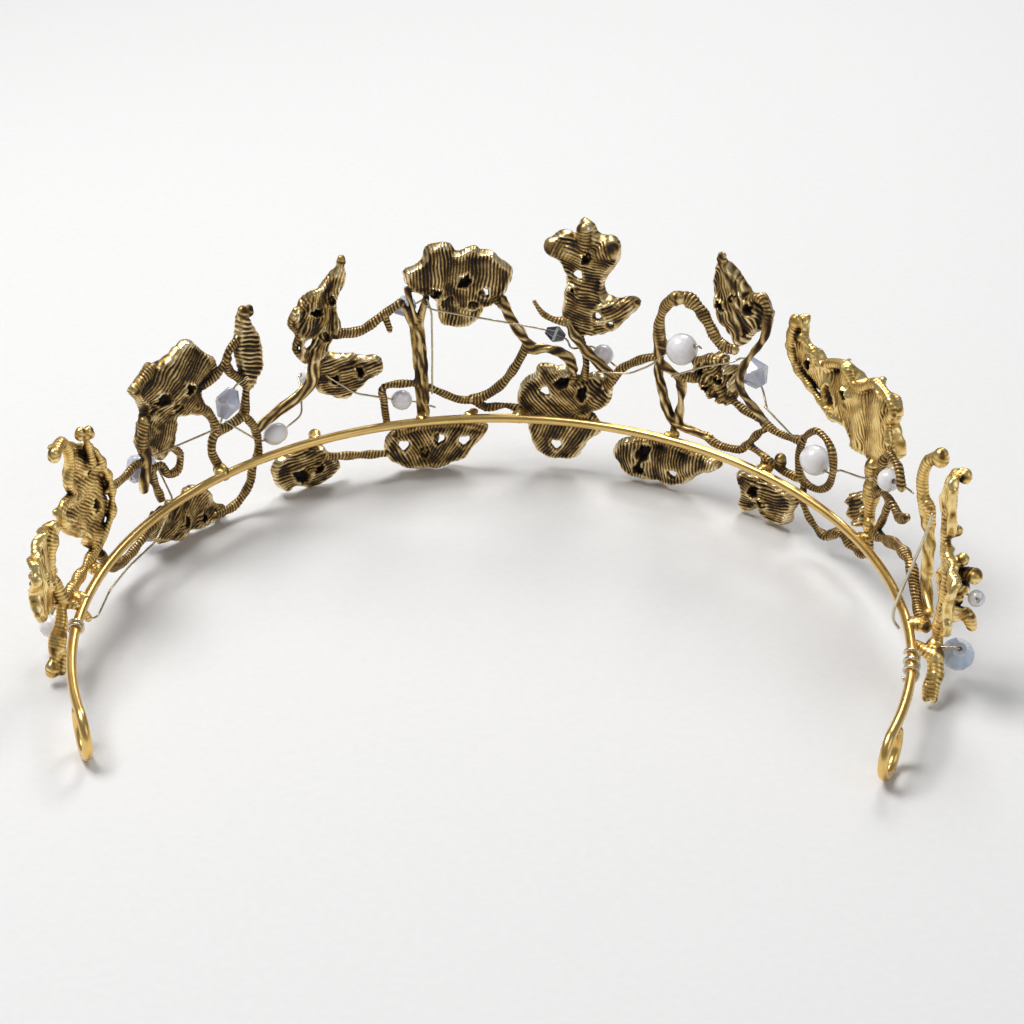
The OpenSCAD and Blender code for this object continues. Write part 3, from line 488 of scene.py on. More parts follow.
# What each spray is cast from: outlines and routes are points of the wall.
SPRAYS = {
    "left_end_leaf": [
        petal([(-112.7, 39.6), (-110.5, 40.4), (-106.6, 38.8), (-103, 36.6), (-101, 35.4),
            (-99.9, 34.6), (-97.6, 32), (-95.6, 28.6), (-93.6, 24.1), (-93.6, 18.8), (-95.3, 15.4),
            (-99.4, 12.9), (-102.8, 16.2), (-106.3, 19.7), (-111.5, 23.7), (-112.1, 26.4),
            (-110.2, 28.1), (-105.6, 27.4), (-107.6, 30.8), (-106.2, 33.8), (-107, 37.4)], -38,
            pits=((-99.6, 22, 1.2), (-101.4, 30, 0.9)), ruffle=0.5, lobes=5, cup=0.8, o=0.2,
            depth=0.24, rim=0.35, fold=0.5),
        stalk([(-112.4, 39.4, 0.5), (-108.6, 39.8, 0.7), (-106.6, 37, 0.5), (-106.4, 33.6, 0.5),
            (-107.4, 30.8, 0.7), (-106, 27.8, 0.6), (-110, 28, 0.9), (-111.8, 26, 0.9),
            (-110.8, 23.8, 0.7), (-106.5, 20, 0.5)], 2.0, 1.7, depth=0.07, lump=0.2),
        stalk([(-99.9, 34.4, -0.4), (-97.6, 31.8, -0.6), (-95.8, 28.6, -0.6), (-93.9, 24.1, -0.6),
            (-93.9, 18.8, -0.6), (-95.8, 15.8, -0.4), (-99.6, 13.2)], 1.4, depth=0.1, lump=0.4),
        stalk([(-100, 31, -0.6), (-101.6, 35, -1.2), (-103.4, 38.8, -1.6)], 1.8, 1.4, depth=0.08),
        bud((-104.2, 39, -1.1), 2.0),
        bud((-103, 38.8, -2.2), 1.9),
        bud((-112.6, 39, 0.8), 2.2),
        stalk([(-99.4, 13.6), (-103, 12.4, 0.2), (-108, 11.8, 0.3), (-113, 11.6, 0.5),
            (-117.4, 12, 0.8)], 2.0, lump=0.3),
        stalk([(-117.4, 12, 0.8), (-119.4, 9.6, 0.6), (-121.6, 7.2, 1)], 1.9, 2.6, depth=0.1,
            lump=0.1),
        stalk([(-121.4, 7.6, 1), (-122.6, 6, 1.2)], 3.1, 2.7, depth=0.06),
        stalk([(-122.6, 5.6, 1.3), (-124.2, 3.8, 1.8)], 1.9, 1.8, depth=0.06),
        bud((-124.6, 2.6, 2), 2.5, depth=0.05),
        stalk([(-122, 6, 0.6), (-123.2, 4.4, 0.1), (-124.4, 2.4, 0.4)], 1.4, 1.6, depth=0.08),
        stalk([(-113.6, 8.6, -1.9), (-113.2, 6.6, -2.5)], 1.3, 1.6, depth=0.05),
    ],
    "left_end_flower": [
        petal([(-117, 13), (-114.6, 17), (-115.4, 21), (-113.4, 23.6), (-116, 26.6), (-120, 28),
            (-123, 26), (-126.4, 26.4), (-128.6, 23.4), (-127, 20), (-128.4, 16.6), (-125.4, 13.4),
            (-121, 12)], 80, pits=((-119, 17, 1.0), (-123.4, 21, 1.1)), o=2.2, ruffle=0.4, lobes=5,
            cup=0.6, depth=0.16, rim=0.4),
        stalk([(-116.6, 11.8, 0.8), (-117, 16, 1.9), (-117, 20, 2.5), (-115.8, 24, 2.2),
            (-114.8, 26, 1.7)], 2.4, 2.6, depth=0.09, lump=0.35),
        stalk([(-117, 21, 2.6), (-116.5, 23, 3.7)], 2.0, 2.4, depth=0.08, lump=0.3),
        stalk([(-117, 19, 2.4), (-118.4, 18.6, 3.6)], 2.6, 2.6, depth=0.08, lump=0.3),
        stalk([(-117.4, 17, 2.2), (-118.6, 15.2, 3.6), (-119, 12.8, 4.2)], 1.9, 1.9, depth=0.08,
            lump=0.3),
        bud((-115.2, 25.4, 2.6), 2.1),
        bud((-114.6, 25.8, 1.3), 2.3),
        bud((-117.2, 19, 3), 3.1),
        bud((-117, 12, 0.7), 2.3),
        stalk([(-116.8, 11.8, 0.4), (-116.8, 11.4, -1.6)], 1.9, 1.6, depth=0.06),
    ],
    "left_side_stem": [
        stalk([(-94.6, 22.4), (-91, 22), (-88, 22), (-83.6, 22.6), (-81, 20.4), (-79.6, 17),
            (-78, 12.4)], 1.6, around=3),
        stalk([(-81.4, 24.4, -0.3), (-81.9, 21.6, -0.6), (-82.8, 18.6, -0.4), (-82.6, 16.6)], 2.4,
            1.8, around=4, pace=9, depth=0.1),
        stalk([(-80.6, 19.4), (-77.4, 19.4), (-75.6, 16.6), (-72.8, 16.4), (-72, 19.4),
            (-74, 21.6)], 1.6),
    ],
    "left_side_flower": [
        petal([(-82.4, 37.4), (-80.7, 38.2), (-78.4, 38.6), (-76.9, 40.2), (-74.6, 39),
            (-72.3, 39), (-69.8, 40.4), (-67.5, 41), (-65.4, 40), (-63.2, 37.3), (-61.3, 34.8),
            (-61, 32.4), (-63.5, 30.5), (-64.5, 29), (-64, 26), (-66, 24.8), (-68.3, 26),
            (-71.1, 26.4), (-73, 24.4), (-76.4, 25), (-79.4, 27.6), (-78.8, 31), (-80.7, 33.7),
            (-82.1, 35.8)], 28, pits=((-69.2, 32.3, 1.2), (-75.8, 32.7, 1.4), (-72.3, 29, 1.1)),
            cup=2.4, o=-0.5, ruffle=0.4, lobes=5, fold=0.35, fold_size=6, rim=0.4),
        petal([(-80, 29.4), (-75.4, 30.4), (-71.4, 27.4), (-72, 23.4), (-73.4, 20.8), (-76.4, 20),
            (-79, 22.6), (-82, 24.6), (-82, 27.4)], 62, o=0.2, cup=1.2, fold=0.3, ruffle=0.3,
            rim=0.4),
        stalk([(-81.6, 36.8, 0.7), (-79, 38, 1), (-76.4, 39.2, 1.2)], 1.9, depth=0.1, lump=0.4),
        stalk([(-80.6, 30, 0.3), (-81.4, 27, 0.4), (-81.6, 24, 0.1)], 2.1, 2.4, depth=0.1,
            lump=0.2),
        stalk([(-65, 31, 0.2), (-61.6, 32.4), (-58.8, 34.8)], 1.9),
        stalk([(-67, 27.4, 0.2), (-64.4, 25.4, 0.2), (-62.9, 22.4), (-62.6, 20.4)], 1.8),
    ],
    "left_spike_leaf": [
        petal([(-55.4, 43), (-55.5, 41), (-56.5, 37.4), (-56.5, 34), (-56, 30.4), (-55, 27),
            (-53.4, 26.6), (-51.6, 29.5), (-50.5, 33.4), (-51.4, 37.2), (-52.6, 40.4),
            (-53, 42.6)], -12, cup=1.1, o=-0.4, ruffle=0.1, t=1.9, depth=0.42, pace=0.95, fold=0,
            rim=0.1, wave=0.6),
        bud((-54.7, 42.8, 0), 2.5, depth=0.05),
        bud((-53.2, 42.8, 0.2), 2.0, depth=0.05),
        stalk([(-56.2, 38), (-58.4, 36.2), (-59.2, 34.2), (-58.4, 31.8), (-56.6, 30), (-54.8, 28)],
            1.9, 1.6, lump=0.25),
        stalk([(-54.8, 28.4), (-55.4, 24), (-56, 21.8), (-59.3, 20.6), (-62.9, 20), (-64, 16.7),
            (-62.5, 12.8)], 1.9, 1.7, lump=0.2),
        stalk([(-56, 21.8), (-53.6, 18), (-53, 13), (-54.6, 9.6), (-55.7, 6), (-59.3, 2.8),
            (-64.3, 2.4)], 1.7, lump=0.2),
    ],
    "left_low_leaf": [
        petal([(-82, 6.8), (-78.3, 9.3), (-73.2, 9.7), (-67.9, 10.1), (-64.4, 7.8), (-65, 6.1),
            (-61.4, 3), (-60.4, 0.7), (-66, 0.7), (-70.4, 1.4), (-75, 1), (-78.6, 2.6)], 35,
            pits=((-72.6, 4.6, 1.1), (-67.6, 3.4, 0.9)), ruffle=0.5, lobes=5, cup=1.4, fold=0.5),
        stalk([(-99, 11.6), (-95, 6.4), (-90.4, 5.4), (-86.4, 6), (-81, 7.8), (-76.4, 7.4)], 2.0,
            1.6, lump=0.2),
        stalk([(-79.4, 5, 0.6), (-74.8, 6.6, 0.2), (-70, 6.2, 0.4), (-65.4, 5.2, 0.7),
            (-62, 3, 0.8)], 1.3, depth=0.12, lump=0.3),
        stalk([(-78.4, 3, 0.9), (-73, 1.7, 1.4), (-66, 1.7, 1.2), (-61.6, 1.4, 0.8)], 1.4,
            lump=0.3),
    ],
    "left_centre_leaf": [
        petal([(-33.3, 49.4), (-35.6, 46.4), (-38.8, 44.4), (-42, 41.6), (-44, 39.6), (-42.8, 35),
            (-43, 30), (-39.6, 28.4), (-36.6, 30.6), (-34.2, 34.6), (-34.6, 40), (-32.6, 44.6)],
            78, holes=((-41, 33, 1.0),), pits=((-39, 39.4, 1.0), (-37.6, 34, 1.1),
            (-36, 41.4, 0.8)), bow=0.9, ruffle=0.5, lobes=5, fold=0.6, fold_size=3.6, wave=1.8),
        petal([(-39.4, 28), (-34.8, 29.2), (-30.8, 27.6), (-26.4, 27), (-25.2, 24.6),
            (-27.3, 22.4), (-30.7, 20.4), (-33, 18.2), (-35.9, 20), (-39.6, 22.6)], 5,
            pits=((-30.6, 24.8, 0.9), (-36, 24.4, 0.9)), cup=1.6, o=-0.2, ruffle=0.4, lobes=5,
            fan=0.02),
        bud((-33.4, 48.8), 2.0),
        stalk([(-43, 40.4, 0.4), (-44.2, 37.6, 0.6), (-42.6, 34.8, 0.6), (-43.6, 32.2, 0.4),
            (-41.6, 29.4, 0.2)], 1.3, depth=0.1),
        stalk([(-42.8, 39.6, 0), (-39.8, 42.6, 0.3), (-36.4, 44.8, 0.5)], 1.2, depth=0.1,
            lump=0.4),
        stalk([(-38, 30, 0.2), (-37.4, 37, 0.3), (-34.6, 44, 0.3)], 1.5, around=4, pace=3),
        stalk([(-39.4, 30, 0), (-40.1, 26.6), (-40.8, 24.2), (-43.5, 22, 0), (-47.5, 20.3),
            (-52.6, 17.8)], 3.0, 2.2, around=6, pace=9, flat=1.5, lump=0.06),
        stalk([(-35, 33.8), (-29.9, 33.5), (-25.6, 36), (-21.8, 38.4)], 2.1, 1.7),
        stalk([(-25, 36.2), (-24, 32.8)], 1.3),
    ],
    "left_low_flower": [
        petal([(-49.5, 6), (-48.5, 2.8), (-46.2, 0.7), (-44.4, 1.8), (-42.4, 0.7), (-37.4, 0.7),
            (-36.4, 2.2), (-33.9, 3.6), (-36.3, 6.2), (-38.1, 8.9), (-41.7, 10.6), (-45.7, 10.4),
            (-48, 8.4)], 6, pits=((-43.9, 4.4, 1.5), (-40.2, 5.4, 0.9)), cup=2.0, o=-0.3,
            ruffle=0.4, lobes=5, rim=0.4),
        stalk([(-39, 7.4), (-34, 6.4), (-28.4, 5.6), (-25.6, 5.4)], 1.7),
        stalk([(-41, 6, 0.4), (-40.6, 9, 0.4), (-41, 11, -0.2)], 1.7),
    ],
    "arch_flower": [
        petal([(-17.4, 41), (-14.9, 38), (-13.2, 32.4), (-10.4, 31.4), (-7, 32.6), (-5, 36),
            (-6, 41), (-12, 43)], 88, o=1.4, ruffle=0.3, cup=0.4, fan=0.01),
        petal([(-20.6, 42.2), (-20.6, 44.4), (-18.4, 45.9), (-17.2, 46.2), (-16, 49),
            (-13.6, 50.2), (-11.2, 49.4), (-10.3, 47.4), (-9, 48.8), (-7, 49), (-5.6, 47.6),
            (-4.4, 48), (-2.6, 47), (-1.2, 45.4), (0.2, 43.6), (0, 40.4), (-1.4, 38.2), (-4, 36.2),
            (-8, 35), (-10.6, 36), (-13, 38), (-15.4, 38.6), (-18.4, 39.4)], 88,
            holes=((-5.2, 39.9, 0.9), (-12, 37.6, 1.0), (-7.4, 36.8, 0.9)),
            pits=((-9.1, 42.6, 1.2), (-15.2, 39.8, 1.3)), cup=2.6, o=-0.9, ruffle=0.3, lobes=7,
            rim=0.42, fan=0.012, fold=0.4, fold_size=5.6),
        stalk([(-20.4, 41.2), (-19.3, 36), (-18.9, 28, 0.2), (-18.6, 20.3), (-18.4, 13.4)], 1.3,
            around=2, pace=7, depth=0.16),
        stalk([(-16.6, 39), (-17.7, 34), (-17.2, 26, 0.2), (-17.1, 19), (-17, 13.4)], 1.3,
            around=2, pace=7, depth=0.16),
        stalk([(-18.6, 33.4, -0.4), (-18.1, 27, -0.7), (-17.9, 20, -0.6), (-17.7, 14.4, -0.3)],
            1.1, around=2, pace=7, depth=0.12),
        stalk([(-21.4, 38.4, 0.2), (-20.2, 35, 0.4), (-19.2, 30.4, 0.3), (-18.8, 24, 0.2)], 1.3,
            around=2, pace=7, depth=0.16),
        stalk([(-17.6, 30.4, -0.2), (-18.4, 34, -0.1), (-16.8, 38, 0)], 1.1, depth=0.1),
        stalk([(-16.3, 19.2), (-10.6, 16.2), (-7.4, 16)], 1.5),
        stalk([(-18.4, 20.4), (-25.4, 20.5), (-25.6, 17), (-25.2, 12.6)], 1.6),
    ],
    "centre_low_leaf": [
        petal([(-25.8, 4.4), (-22.6, 1.6), (-19, 0.7), (-15.4, 0.7), (-14.6, 5), (-14, 10.8),
            (-18, 10.8), (-24, 9.6)], -62, holes=((-21.8, 6.8, 1.0),), pits=((-17.6, 5, 1.1),),
            cup=1.8, o=-0.3, ruffle=0.3, lobes=5),
        petal([(-18.6, 0.8), (-13.6, 0.7), (-9.4, 2.4), (-5.8, 6.7), (-4.4, 9.8), (-11, 10.8),
            (-17.6, 10.8), (-18.4, 6)], 58, holes=((-14.6, 7.6, 1.1), (-9.4, 6.8, 1.1)), cup=1.8,
            o=-0.3, ruffle=0.3, lobes=5),
        stalk([(-23.4, 9.4, 0.2), (-17.6, 10.5, 0.1), (-10, 10.4, 0.1), (-5.4, 9.3, 0.2)], 1.5),
    ],
    "centre_arch": [
        stalk([(-1.6, 37.8), (0, 34), (2.7, 29.8), (4.4, 27.6), (6.3, 27.6), (9, 27.4), (11.6, 26),
            (12.7, 23.6)], 2.1, around=3, pace=3),
        stalk([(3.4, 28.6), (1.3, 24), (-1.6, 19.6), (-5, 16.9), (-7.6, 16)], 2.1),
        stalk([(-7.6, 16), (-5, 14.2), (-1, 14.6), (1.8, 13.8)], 1.6),
        stalk([(-2, 37), (-3.6, 39)], 1.5),
    ],
    "crown_flower": [
        petal([(14.3, 55.4), (12.8, 54.4), (12.6, 52.4), (9.4, 52.4), (6.8, 50.2), (7.2, 47.8),
            (9.6, 46), (10.6, 43.4), (10.4, 38), (10.2, 34), (12.8, 31.2), (16.3, 31),
            (20.6, 32.8), (23.4, 36), (25.7, 40.1), (21, 39.4), (18.6, 40.4), (19.2, 44.6),
            (21.4, 48.6), (20.4, 52), (16.6, 52.2), (16.2, 54.4)], -20, holes=((13.4, 44.4, 0.9),
            (17.4, 36, 0.8), (20, 34.6, 0.6)), pits=((15.2, 48.2, 1.0), (12.6, 41, 0.7)), cup=2.2,
            o=-0.6, ruffle=0.3, rim=0.42),
        petal([(17, 38.6), (20.6, 39.6), (25.6, 40.2), (23, 35.4), (20, 32.4), (16.4, 31.8),
            (15.4, 35)], 30, o=-0.4, cup=1.2, ruffle=0.2, rim=0.4, holes=((17.6, 36, 0.8),
            (20, 34.4, 0.7))),
        stalk([(8.4, 49.6, 0.3), (11, 48.6, -0.1), (13.4, 47.6, 0)], 3.8, 2.0, flat=1.2, lump=0.2),
        stalk([(19.4, 50, 0.3), (17.4, 49, -0.1), (15.8, 47.8, 0)], 3.6, 2.0, flat=1.2, lump=0.2),
        stalk([(14.4, 53.6, 0.1), (14.6, 51, -0.1), (14.6, 49, 0)], 3.2, 2.2, flat=1.2, lump=0.2),
        stalk([(4.7, 37.8), (6.3, 35.4), (8.4, 34.2), (11.4, 33.8)], 0.9, 1.8, depth=0.14),
        stalk([(12, 33.4, -0.6), (14, 30, -1.1), (17, 27, -1.2), (20.8, 23.4, -0.5)], 1.9, 2.0,
            around=5, pace=8),
        stalk([(13.6, 32), (14.8, 28.4, 0), (15.2, 25, 0), (14.8, 21.8)], 1.4),
        bud((25.2, 39.6), 1.6),
    ],
    "centre_low_flower": [
        petal([(1.6, 18.4), (4.6, 21), (5.6, 23.2), (10.2, 23.4), (13, 21.6), (17, 22.6),
            (20.2, 20), (19.6, 16), (16.4, 13.6), (14, 11.4), (10, 10.6), (5.6, 11), (1.8, 13)],
            -46, holes=((7, 18.4, 0.9),), pits=((10.4, 20.4, 1.2), (14.6, 18.4, 1.2)), cup=2.2,
            o=-0.5, ruffle=0.3, lobes=5, rim=0.4),
        petal([(4.4, 12.6), (3.6, 8.4), (5.4, 3.6), (10, 2.2), (14.4, 4.2), (16, 8), (18.4, 9.8),
            (16.4, 13.6), (10, 14.4)], 60, holes=((9.4, 6.6, 1.0),), cup=1.8, o=-0.2, ruffle=0.3,
            lobes=5, rim=0.4),
        stalk([(19.2, 20.6), (21, 22.8), (22.7, 25.2), (26.3, 27.6), (29, 28.8), (30.2, 29)], 2.3,
            1.7, around=3),
        stalk([(12.8, 21.4), (12.7, 22.4)], 1.5),
    ],
    "right_ring": [
        stalk([(30.4, 32.4), (30, 36), (30.9, 39.6), (32.6, 42), (34.2, 42.7)], 2.0, 2.3,
            depth=0.1, lump=0.2),
        stalk([(33.2, 42.2, 0), (35.6, 42.8), (38.2, 41.4), (40.4, 38.8), (42.2, 36.2),
            (44.2, 34.8), (46.4, 34.8)], 3.1, 2.3, flat=1.5, around=1, depth=0.34),
        bud((33.4, 42.2, -0.4), 2.2),
        stalk([(30, 33.6), (30.2, 30.2), (30.2, 26), (31.2, 21.6), (32.4, 18), (34, 15.6),
            (37.7, 14.6), (42, 14.2)], 2.1, 1.6, around=5, pace=6),
        stalk([(30.9, 27.6), (33.4, 26.2), (35.2, 24.6), (35.2, 20.3), (34.8, 15.6)], 1.7,
            around=2, pace=6, depth=0.12),
        bud((35, 24), 2.3),
        bud((31, 31.4, 0), 2.4),
    ],
    "right_tall_leaf": [
        petal([(42.3, 53.4), (41.5, 52.2), (40.8, 47.8), (41.2, 44.4), (41.1, 41.4), (41.6, 38.9),
            (43.5, 38), (45.4, 36.8), (46.9, 35.4), (48.2, 36.6), (50, 38.6), (52.3, 40.6),
            (54.3, 43.6), (53.3, 46), (51.8, 47.5), (50.2, 47.3), (48.6, 46.4), (47.1, 48.8),
            (44.6, 51), (43.5, 52.6)], 118, pits=((49.5, 44.2, 1.0), (43.2, 43.4, 1.0),
            (46.2, 46, 0.7)), bow=0.6, cup=1.6, o=-0.3, ruffle=0.3, lobes=4, depth=0.22, pace=0.85,
            rim=0.45, fold=0.5, fold_size=4.4, wave=1.6),
        bud((42.7, 52.8), 1.9, depth=0.06),
        stalk([(49.2, 46, 0.2), (50.6, 47, 0.3), (52.4, 46.6, 0.3), (53.6, 44.4, 0.2), (52.8, 42)],
            1.9, 1.6, depth=0.08, lump=0.25),
        stalk([(43, 51.4, 0.2), (44.8, 48.4, -0.1), (46.4, 44, -0.4), (47.6, 39, -0.2)], 1.6,
            around=3, pace=6, depth=0.12),
        stalk([(54, 43.4, 0), (53.4, 39.4, -0.6), (51.8, 36, -2.2), (50.6, 32.8, -3.3),
            (50.4, 29.8, -3.4), (51.2, 26.8, -2.2), (53, 23.8, -0.6), (54.6, 21.4)], 1.6, around=2,
            pace=5, depth=0.14),
        stalk([(54.4, 21.6), (57.4, 20.8), (61, 21), (64, 21.6)], 1.6),
    ],
    "right_inner_leaf": [
        petal([(37.1, 29.7), (37.7, 27.4), (38.7, 24.5), (41, 23.2), (45.3, 22.4), (47.4, 24.4),
            (46.6, 28), (45.6, 30.4), (44.6, 32.2), (42.6, 32.9), (40.2, 31.2)], 60,
            pits=((39.9, 28.4, 0.9), (41, 25.4, 0.8), (43.8, 28, 0.8)), ruffle=0.6, lobes=6,
            fold=0.6, fold_size=2.6, wave=2.6, t=1.5, cup=1.2, o=-0.2),
        stalk([(38, 30, 0), (41, 31.4, -0.2), (44.6, 31.8, 0)], 1.7, lump=0.4),
        stalk([(36.4, 26.6, 0), (39.6, 26.8, -0.4), (42.6, 26.6, -0.4), (45, 24.6, 0)], 1.7,
            lump=0.5),
        stalk([(46, 24.2), (50, 22.6), (53, 22.2)], 1.6),
        stalk([(35, 25.6), (38, 26)], 1.5),
    ],
    "right_low_leaf": [
        petal([(20.8, 6.4), (22.2, 2.8), (25, 0.7), (29.4, 0.7), (34, 0.7), (37, 2.2), (39.6, 5),
            (43, 6.4), (44.2, 8.4), (40.3, 9.6), (37.1, 10.2), (32.6, 10.8), (27.7, 10.6),
            (23.4, 9.2)], 90, holes=((34.3, 4.2, 0.8),), pits=((27.8, 7.4, 1.5), (27, 3.6, 1.3)),
            cup=2.2, o=-0.6, ruffle=0.4, lobes=5, fan=0.012, rim=0.4),
        stalk([(26, 9.4, -0.2), (32, 10.6, -0.2), (38, 9.6, 0)], 1.5),
        stalk([(33, 10, 0), (34, 14.4, 0)], 1.6),
    ],
    "right_low_stem": [
        stalk([(41, 14.4), (44, 13.2), (49, 13.8), (50.6, 15.4), (54.6, 14.6), (59.6, 13.2),
            (63.6, 13.4)], 1.6),
        stalk([(50.6, 15.4), (53, 18.8), (54.6, 20.2)], 1.5),
        bud((58.8, 14.8), 2.5),
        stalk([(55, 14.4), (54.6, 9)], 1.5),
    ],
    "right_low_flower": [
        petal([(47.6, 7.8), (49.2, 4.5), (49.2, 0.9), (51.8, 0.7), (53.6, 2.4), (55.6, 1),
            (59.8, 0.8), (61.8, 3.6), (62.4, 7), (59, 9.2), (52.3, 9.6)], 4,
            pits=((53.2, 6.2, 1.2), (55.4, 4.4, 0.9)), cup=1.8, o=-0.3, ruffle=0.3, lobes=4,
            rim=0.42),
    ],
    "right_side_flower": [
        petal([(59.8, 46.1), (58.4, 44.6), (58.1, 42.3), (57.8, 39.3), (59.6, 35.6), (62.4, 33.7),
            (66.3, 31.8), (69.9, 29.7), (72.9, 28.6), (76, 26.6), (81, 25.8), (84, 24.8), (88, 27),
            (90.2, 30.6), (89.4, 33.6), (88.1, 36.2), (90.3, 39.2), (88.4, 41.2), (86, 41.4),
            (82.8, 42.6), (79.8, 40.6), (77, 39.8), (74.9, 41.9), (72, 41.6), (68.4, 39.4),
            (66, 41.6), (64.1, 41.2), (62.1, 43.2), (61.4, 45.9)], 104, pits=((70.4, 33.4, 1.8),
            (64.8, 38.2, 1.0), (75.4, 36.4, 0.9)), cup=2.0, o=-0.1, ruffle=0.5, lobes=5,
            depth=0.16, pace=0.66, rim=0.5, fold=0.7, fold_size=8, wave=1.6),
        stalk([(60.3, 45.2, 0.2), (59.6, 41.6, 0.2), (60.2, 37.6, 0.2), (63, 34.6, 0.3),
            (67.4, 32, 0.3), (71.6, 29.6, 0.2)], 2.0, 1.5, depth=0.1, lump=0.25),
        stalk([(68.8, 39.8, 0.2), (72, 41, 0.5), (74.6, 41, 0.5), (76.6, 38.8, 0.4),
            (79.6, 39.6, 0.4), (83, 41.8, 0.6), (87.6, 41, 0.6), (89.6, 39, 0.5), (88, 36.4, 0.4),
            (89.4, 33, 0.4)], 1.9, 1.6, depth=0.08, lump=0.3),
        stalk([(62, 42.6, 0.2), (65, 41, 0.3), (66.8, 38.6, 0)], 1.8, 1.5, depth=0.08, lump=0.3),
        bud((60.2, 45, 0.1), 2.3, depth=0.06),
        stalk([(84.6, 26), (85.4, 21), (85.4, 16), (86, 12.4)], 2.3, lump=0.35),
        bud((85.2, 21.6, -0.6), 2.2),
        bud((86.2, 14.2, -0.5), 2.1),
    ],
    "right_pearl_ring": [
        stalk([(64.4, 22.4), (63.4, 18), (64.6, 13.6), (69, 13.2), (72.2, 15.8), (73, 20.3),
            (71.4, 24), (67.6, 25.2), (64.4, 22.4)], 1.5),
        stalk([(65.4, 12.8), (65.3, 9), (68, 5.6), (72.4, 4.4), (76, 6.8), (80, 6.4), (85, 7),
            (86.4, 11.6)], 1.5, lump=0.3),
        stalk([(73, 5, 0.8), (76, 7, 1.4), (79.6, 7, 0.8)], 2.0, lump=0.4),
    ],
    "right_side_twigs": [
        petal([(78.6, 12.6), (82.4, 12), (84.4, 14), (84, 18.6), (80.4, 18.4), (78.4, 16)], 40,
            ruffle=0.5),
        stalk([(84, 14.6), (86.4, 13), (92, 14.2), (98, 16), (104, 16), (108, 13), (112, 11),
            (116, 10.4, 0.6)], 2.1, lump=0.2),
        stalk([(86, 20), (89, 22.6), (93.6, 22.4), (97, 21.6), (100, 23.4)], 1.6, lump=0.3),
        stalk([(85.6, 20.4), (87.4, 24), (88.2, 28), (90, 31), (94.4, 30.6), (96.4, 27.6)], 1.7,
            lump=0.3),
        stalk([(88, 13.6), (90.4, 18), (92, 22.2)], 1.5),
    ],
    "right_end_spike": [
        bud((106, 38.3, 2.9), 2.8, depth=0.04),
        stalk([(105.9, 38.6, 2.6), (104.8, 37.6, 1.3), (104.2, 34.4, 0.6), (104.6, 30.8, 0.8),
            (105.5, 27.2, 1.4)], 2.1, 2.3, depth=0.05, lump=0.06),
        stalk([(105.4, 27.6, 1.4), (106.8, 23.6, 2), (107.4, 19.6, 1.9), (107.6, 16, 1.8),
            (109.6, 13.2, 1.8), (113, 11.4, 1.6)], 2.2, 1.8, depth=0.14, around=3, pace=5,
            lump=0.25),
        stalk([(104.8, 30, 0.8), (106.4, 28.8, 1.7), (106.8, 25.6, 2.1)], 1.6, depth=0.08,
            lump=0.35),
        bud((107.6, 16.4, 2), 2.4),
    ],
    "right_end_flower": [
        petal([(110.4, 31), (111.2, 35), (112, 38.6), (114.6, 40), (117, 38), (116.6, 34.6),
            (117, 31), (115.4, 28.6), (112, 28)], 80, o=3.4, ruffle=0.2, lobes=3, cup=-0.5,
            depth=0.12, rim=0.3, fold=0.15),
        stalk([(113, 39, 5.3), (112.2, 38.8, 4), (112.4, 37, 3.4), (112.5, 35, 3.6),
            (113, 33, 3.5), (113, 31.4, 2.9), (113.5, 29.9, 2.9), (114, 28.7, 3.6),
            (114.5, 29.1, 4.6)], 2.7, 2.0, depth=0.06, lump=0.22),
        bud((113, 38.6, 5.4), 2.2, depth=0.05),
        stalk([(113.8, 29.4, 3), (114.8, 26.6, 2.8), (116.4, 23.4, 3), (117.6, 19.4, 3.2),
            (118, 14, 2.5), (118, 9.6, 2.4), (119, 7.8, 1.6)], 1.9, 2.3, depth=0.1, lump=0.3),
        petal([(112.6, 14.4), (111.4, 18.6), (113.4, 21.6), (112.6, 25), (115.6, 27.4),
            (119.4, 27.8), (122.4, 26), (124.6, 25.4), (125.6, 22.6), (124.4, 19.4), (125, 15.6),
            (122.6, 13), (117, 12.4)], 70, pits=((116, 19, 1.0), (120.6, 16.4, 1.0)), o=3.6,
            ruffle=0.3, lobes=4, cup=-0.4, depth=0.16, rim=0.35, fold=0.3),
        stalk([(117, 24, 3.2), (119.4, 26, 4.4), (120, 26.9, 5)], 1.7, 2.3, depth=0.06, lump=0.2),
        stalk([(118, 22.6, 3.6), (120, 24.2, 6), (120.8, 24.2, 7.1)], 2.0, 2.7, depth=0.06,
            lump=0.2),
        stalk([(118, 20, 3.8), (119.5, 21.2, 5.1)], 2.4, 3.2, depth=0.06, lump=0.2),
        stalk([(118, 18, 3.6), (119, 18.4, 4.8)], 2.2, 2.8, depth=0.06, lump=0.2),
        stalk([(118.4, 15.6, 3.6), (120.6, 16.4, 6.4), (121.3, 14.5, 7.5)], 1.8, 2.1, depth=0.06,
            lump=0.3),
        stalk([(118.4, 8, -1.3), (119.5, 7.7, 0.4), (120.2, 7.3, 1.9)], 2.6, 2.9, depth=0.08,
            lump=0.2),
        stalk([(120.6, 6.8, 2), (122.4, 4.9, 2.1)], 2.8, 3.1, depth=0.06, lump=0.15),
        stalk([(122.8, 4.6, 2), (124.2, 3.4, 1.9), (125.6, 1.9, 1.9)], 2.2, 1.5, depth=0.06,
            lump=0.2),
        stalk([(122.6, 4.6, 1.4), (124, 3.2, 0.8), (125.2, 1.7, 0.6)], 1.8, 1.4, depth=0.06,
            lump=0.2),
    ],
}
# Where solder joins the sprays to the band.
SOLDER_AT = (-113.2, -103.4, -63, -41, -18, -8, 1.8, 34, 56, 86, 115)


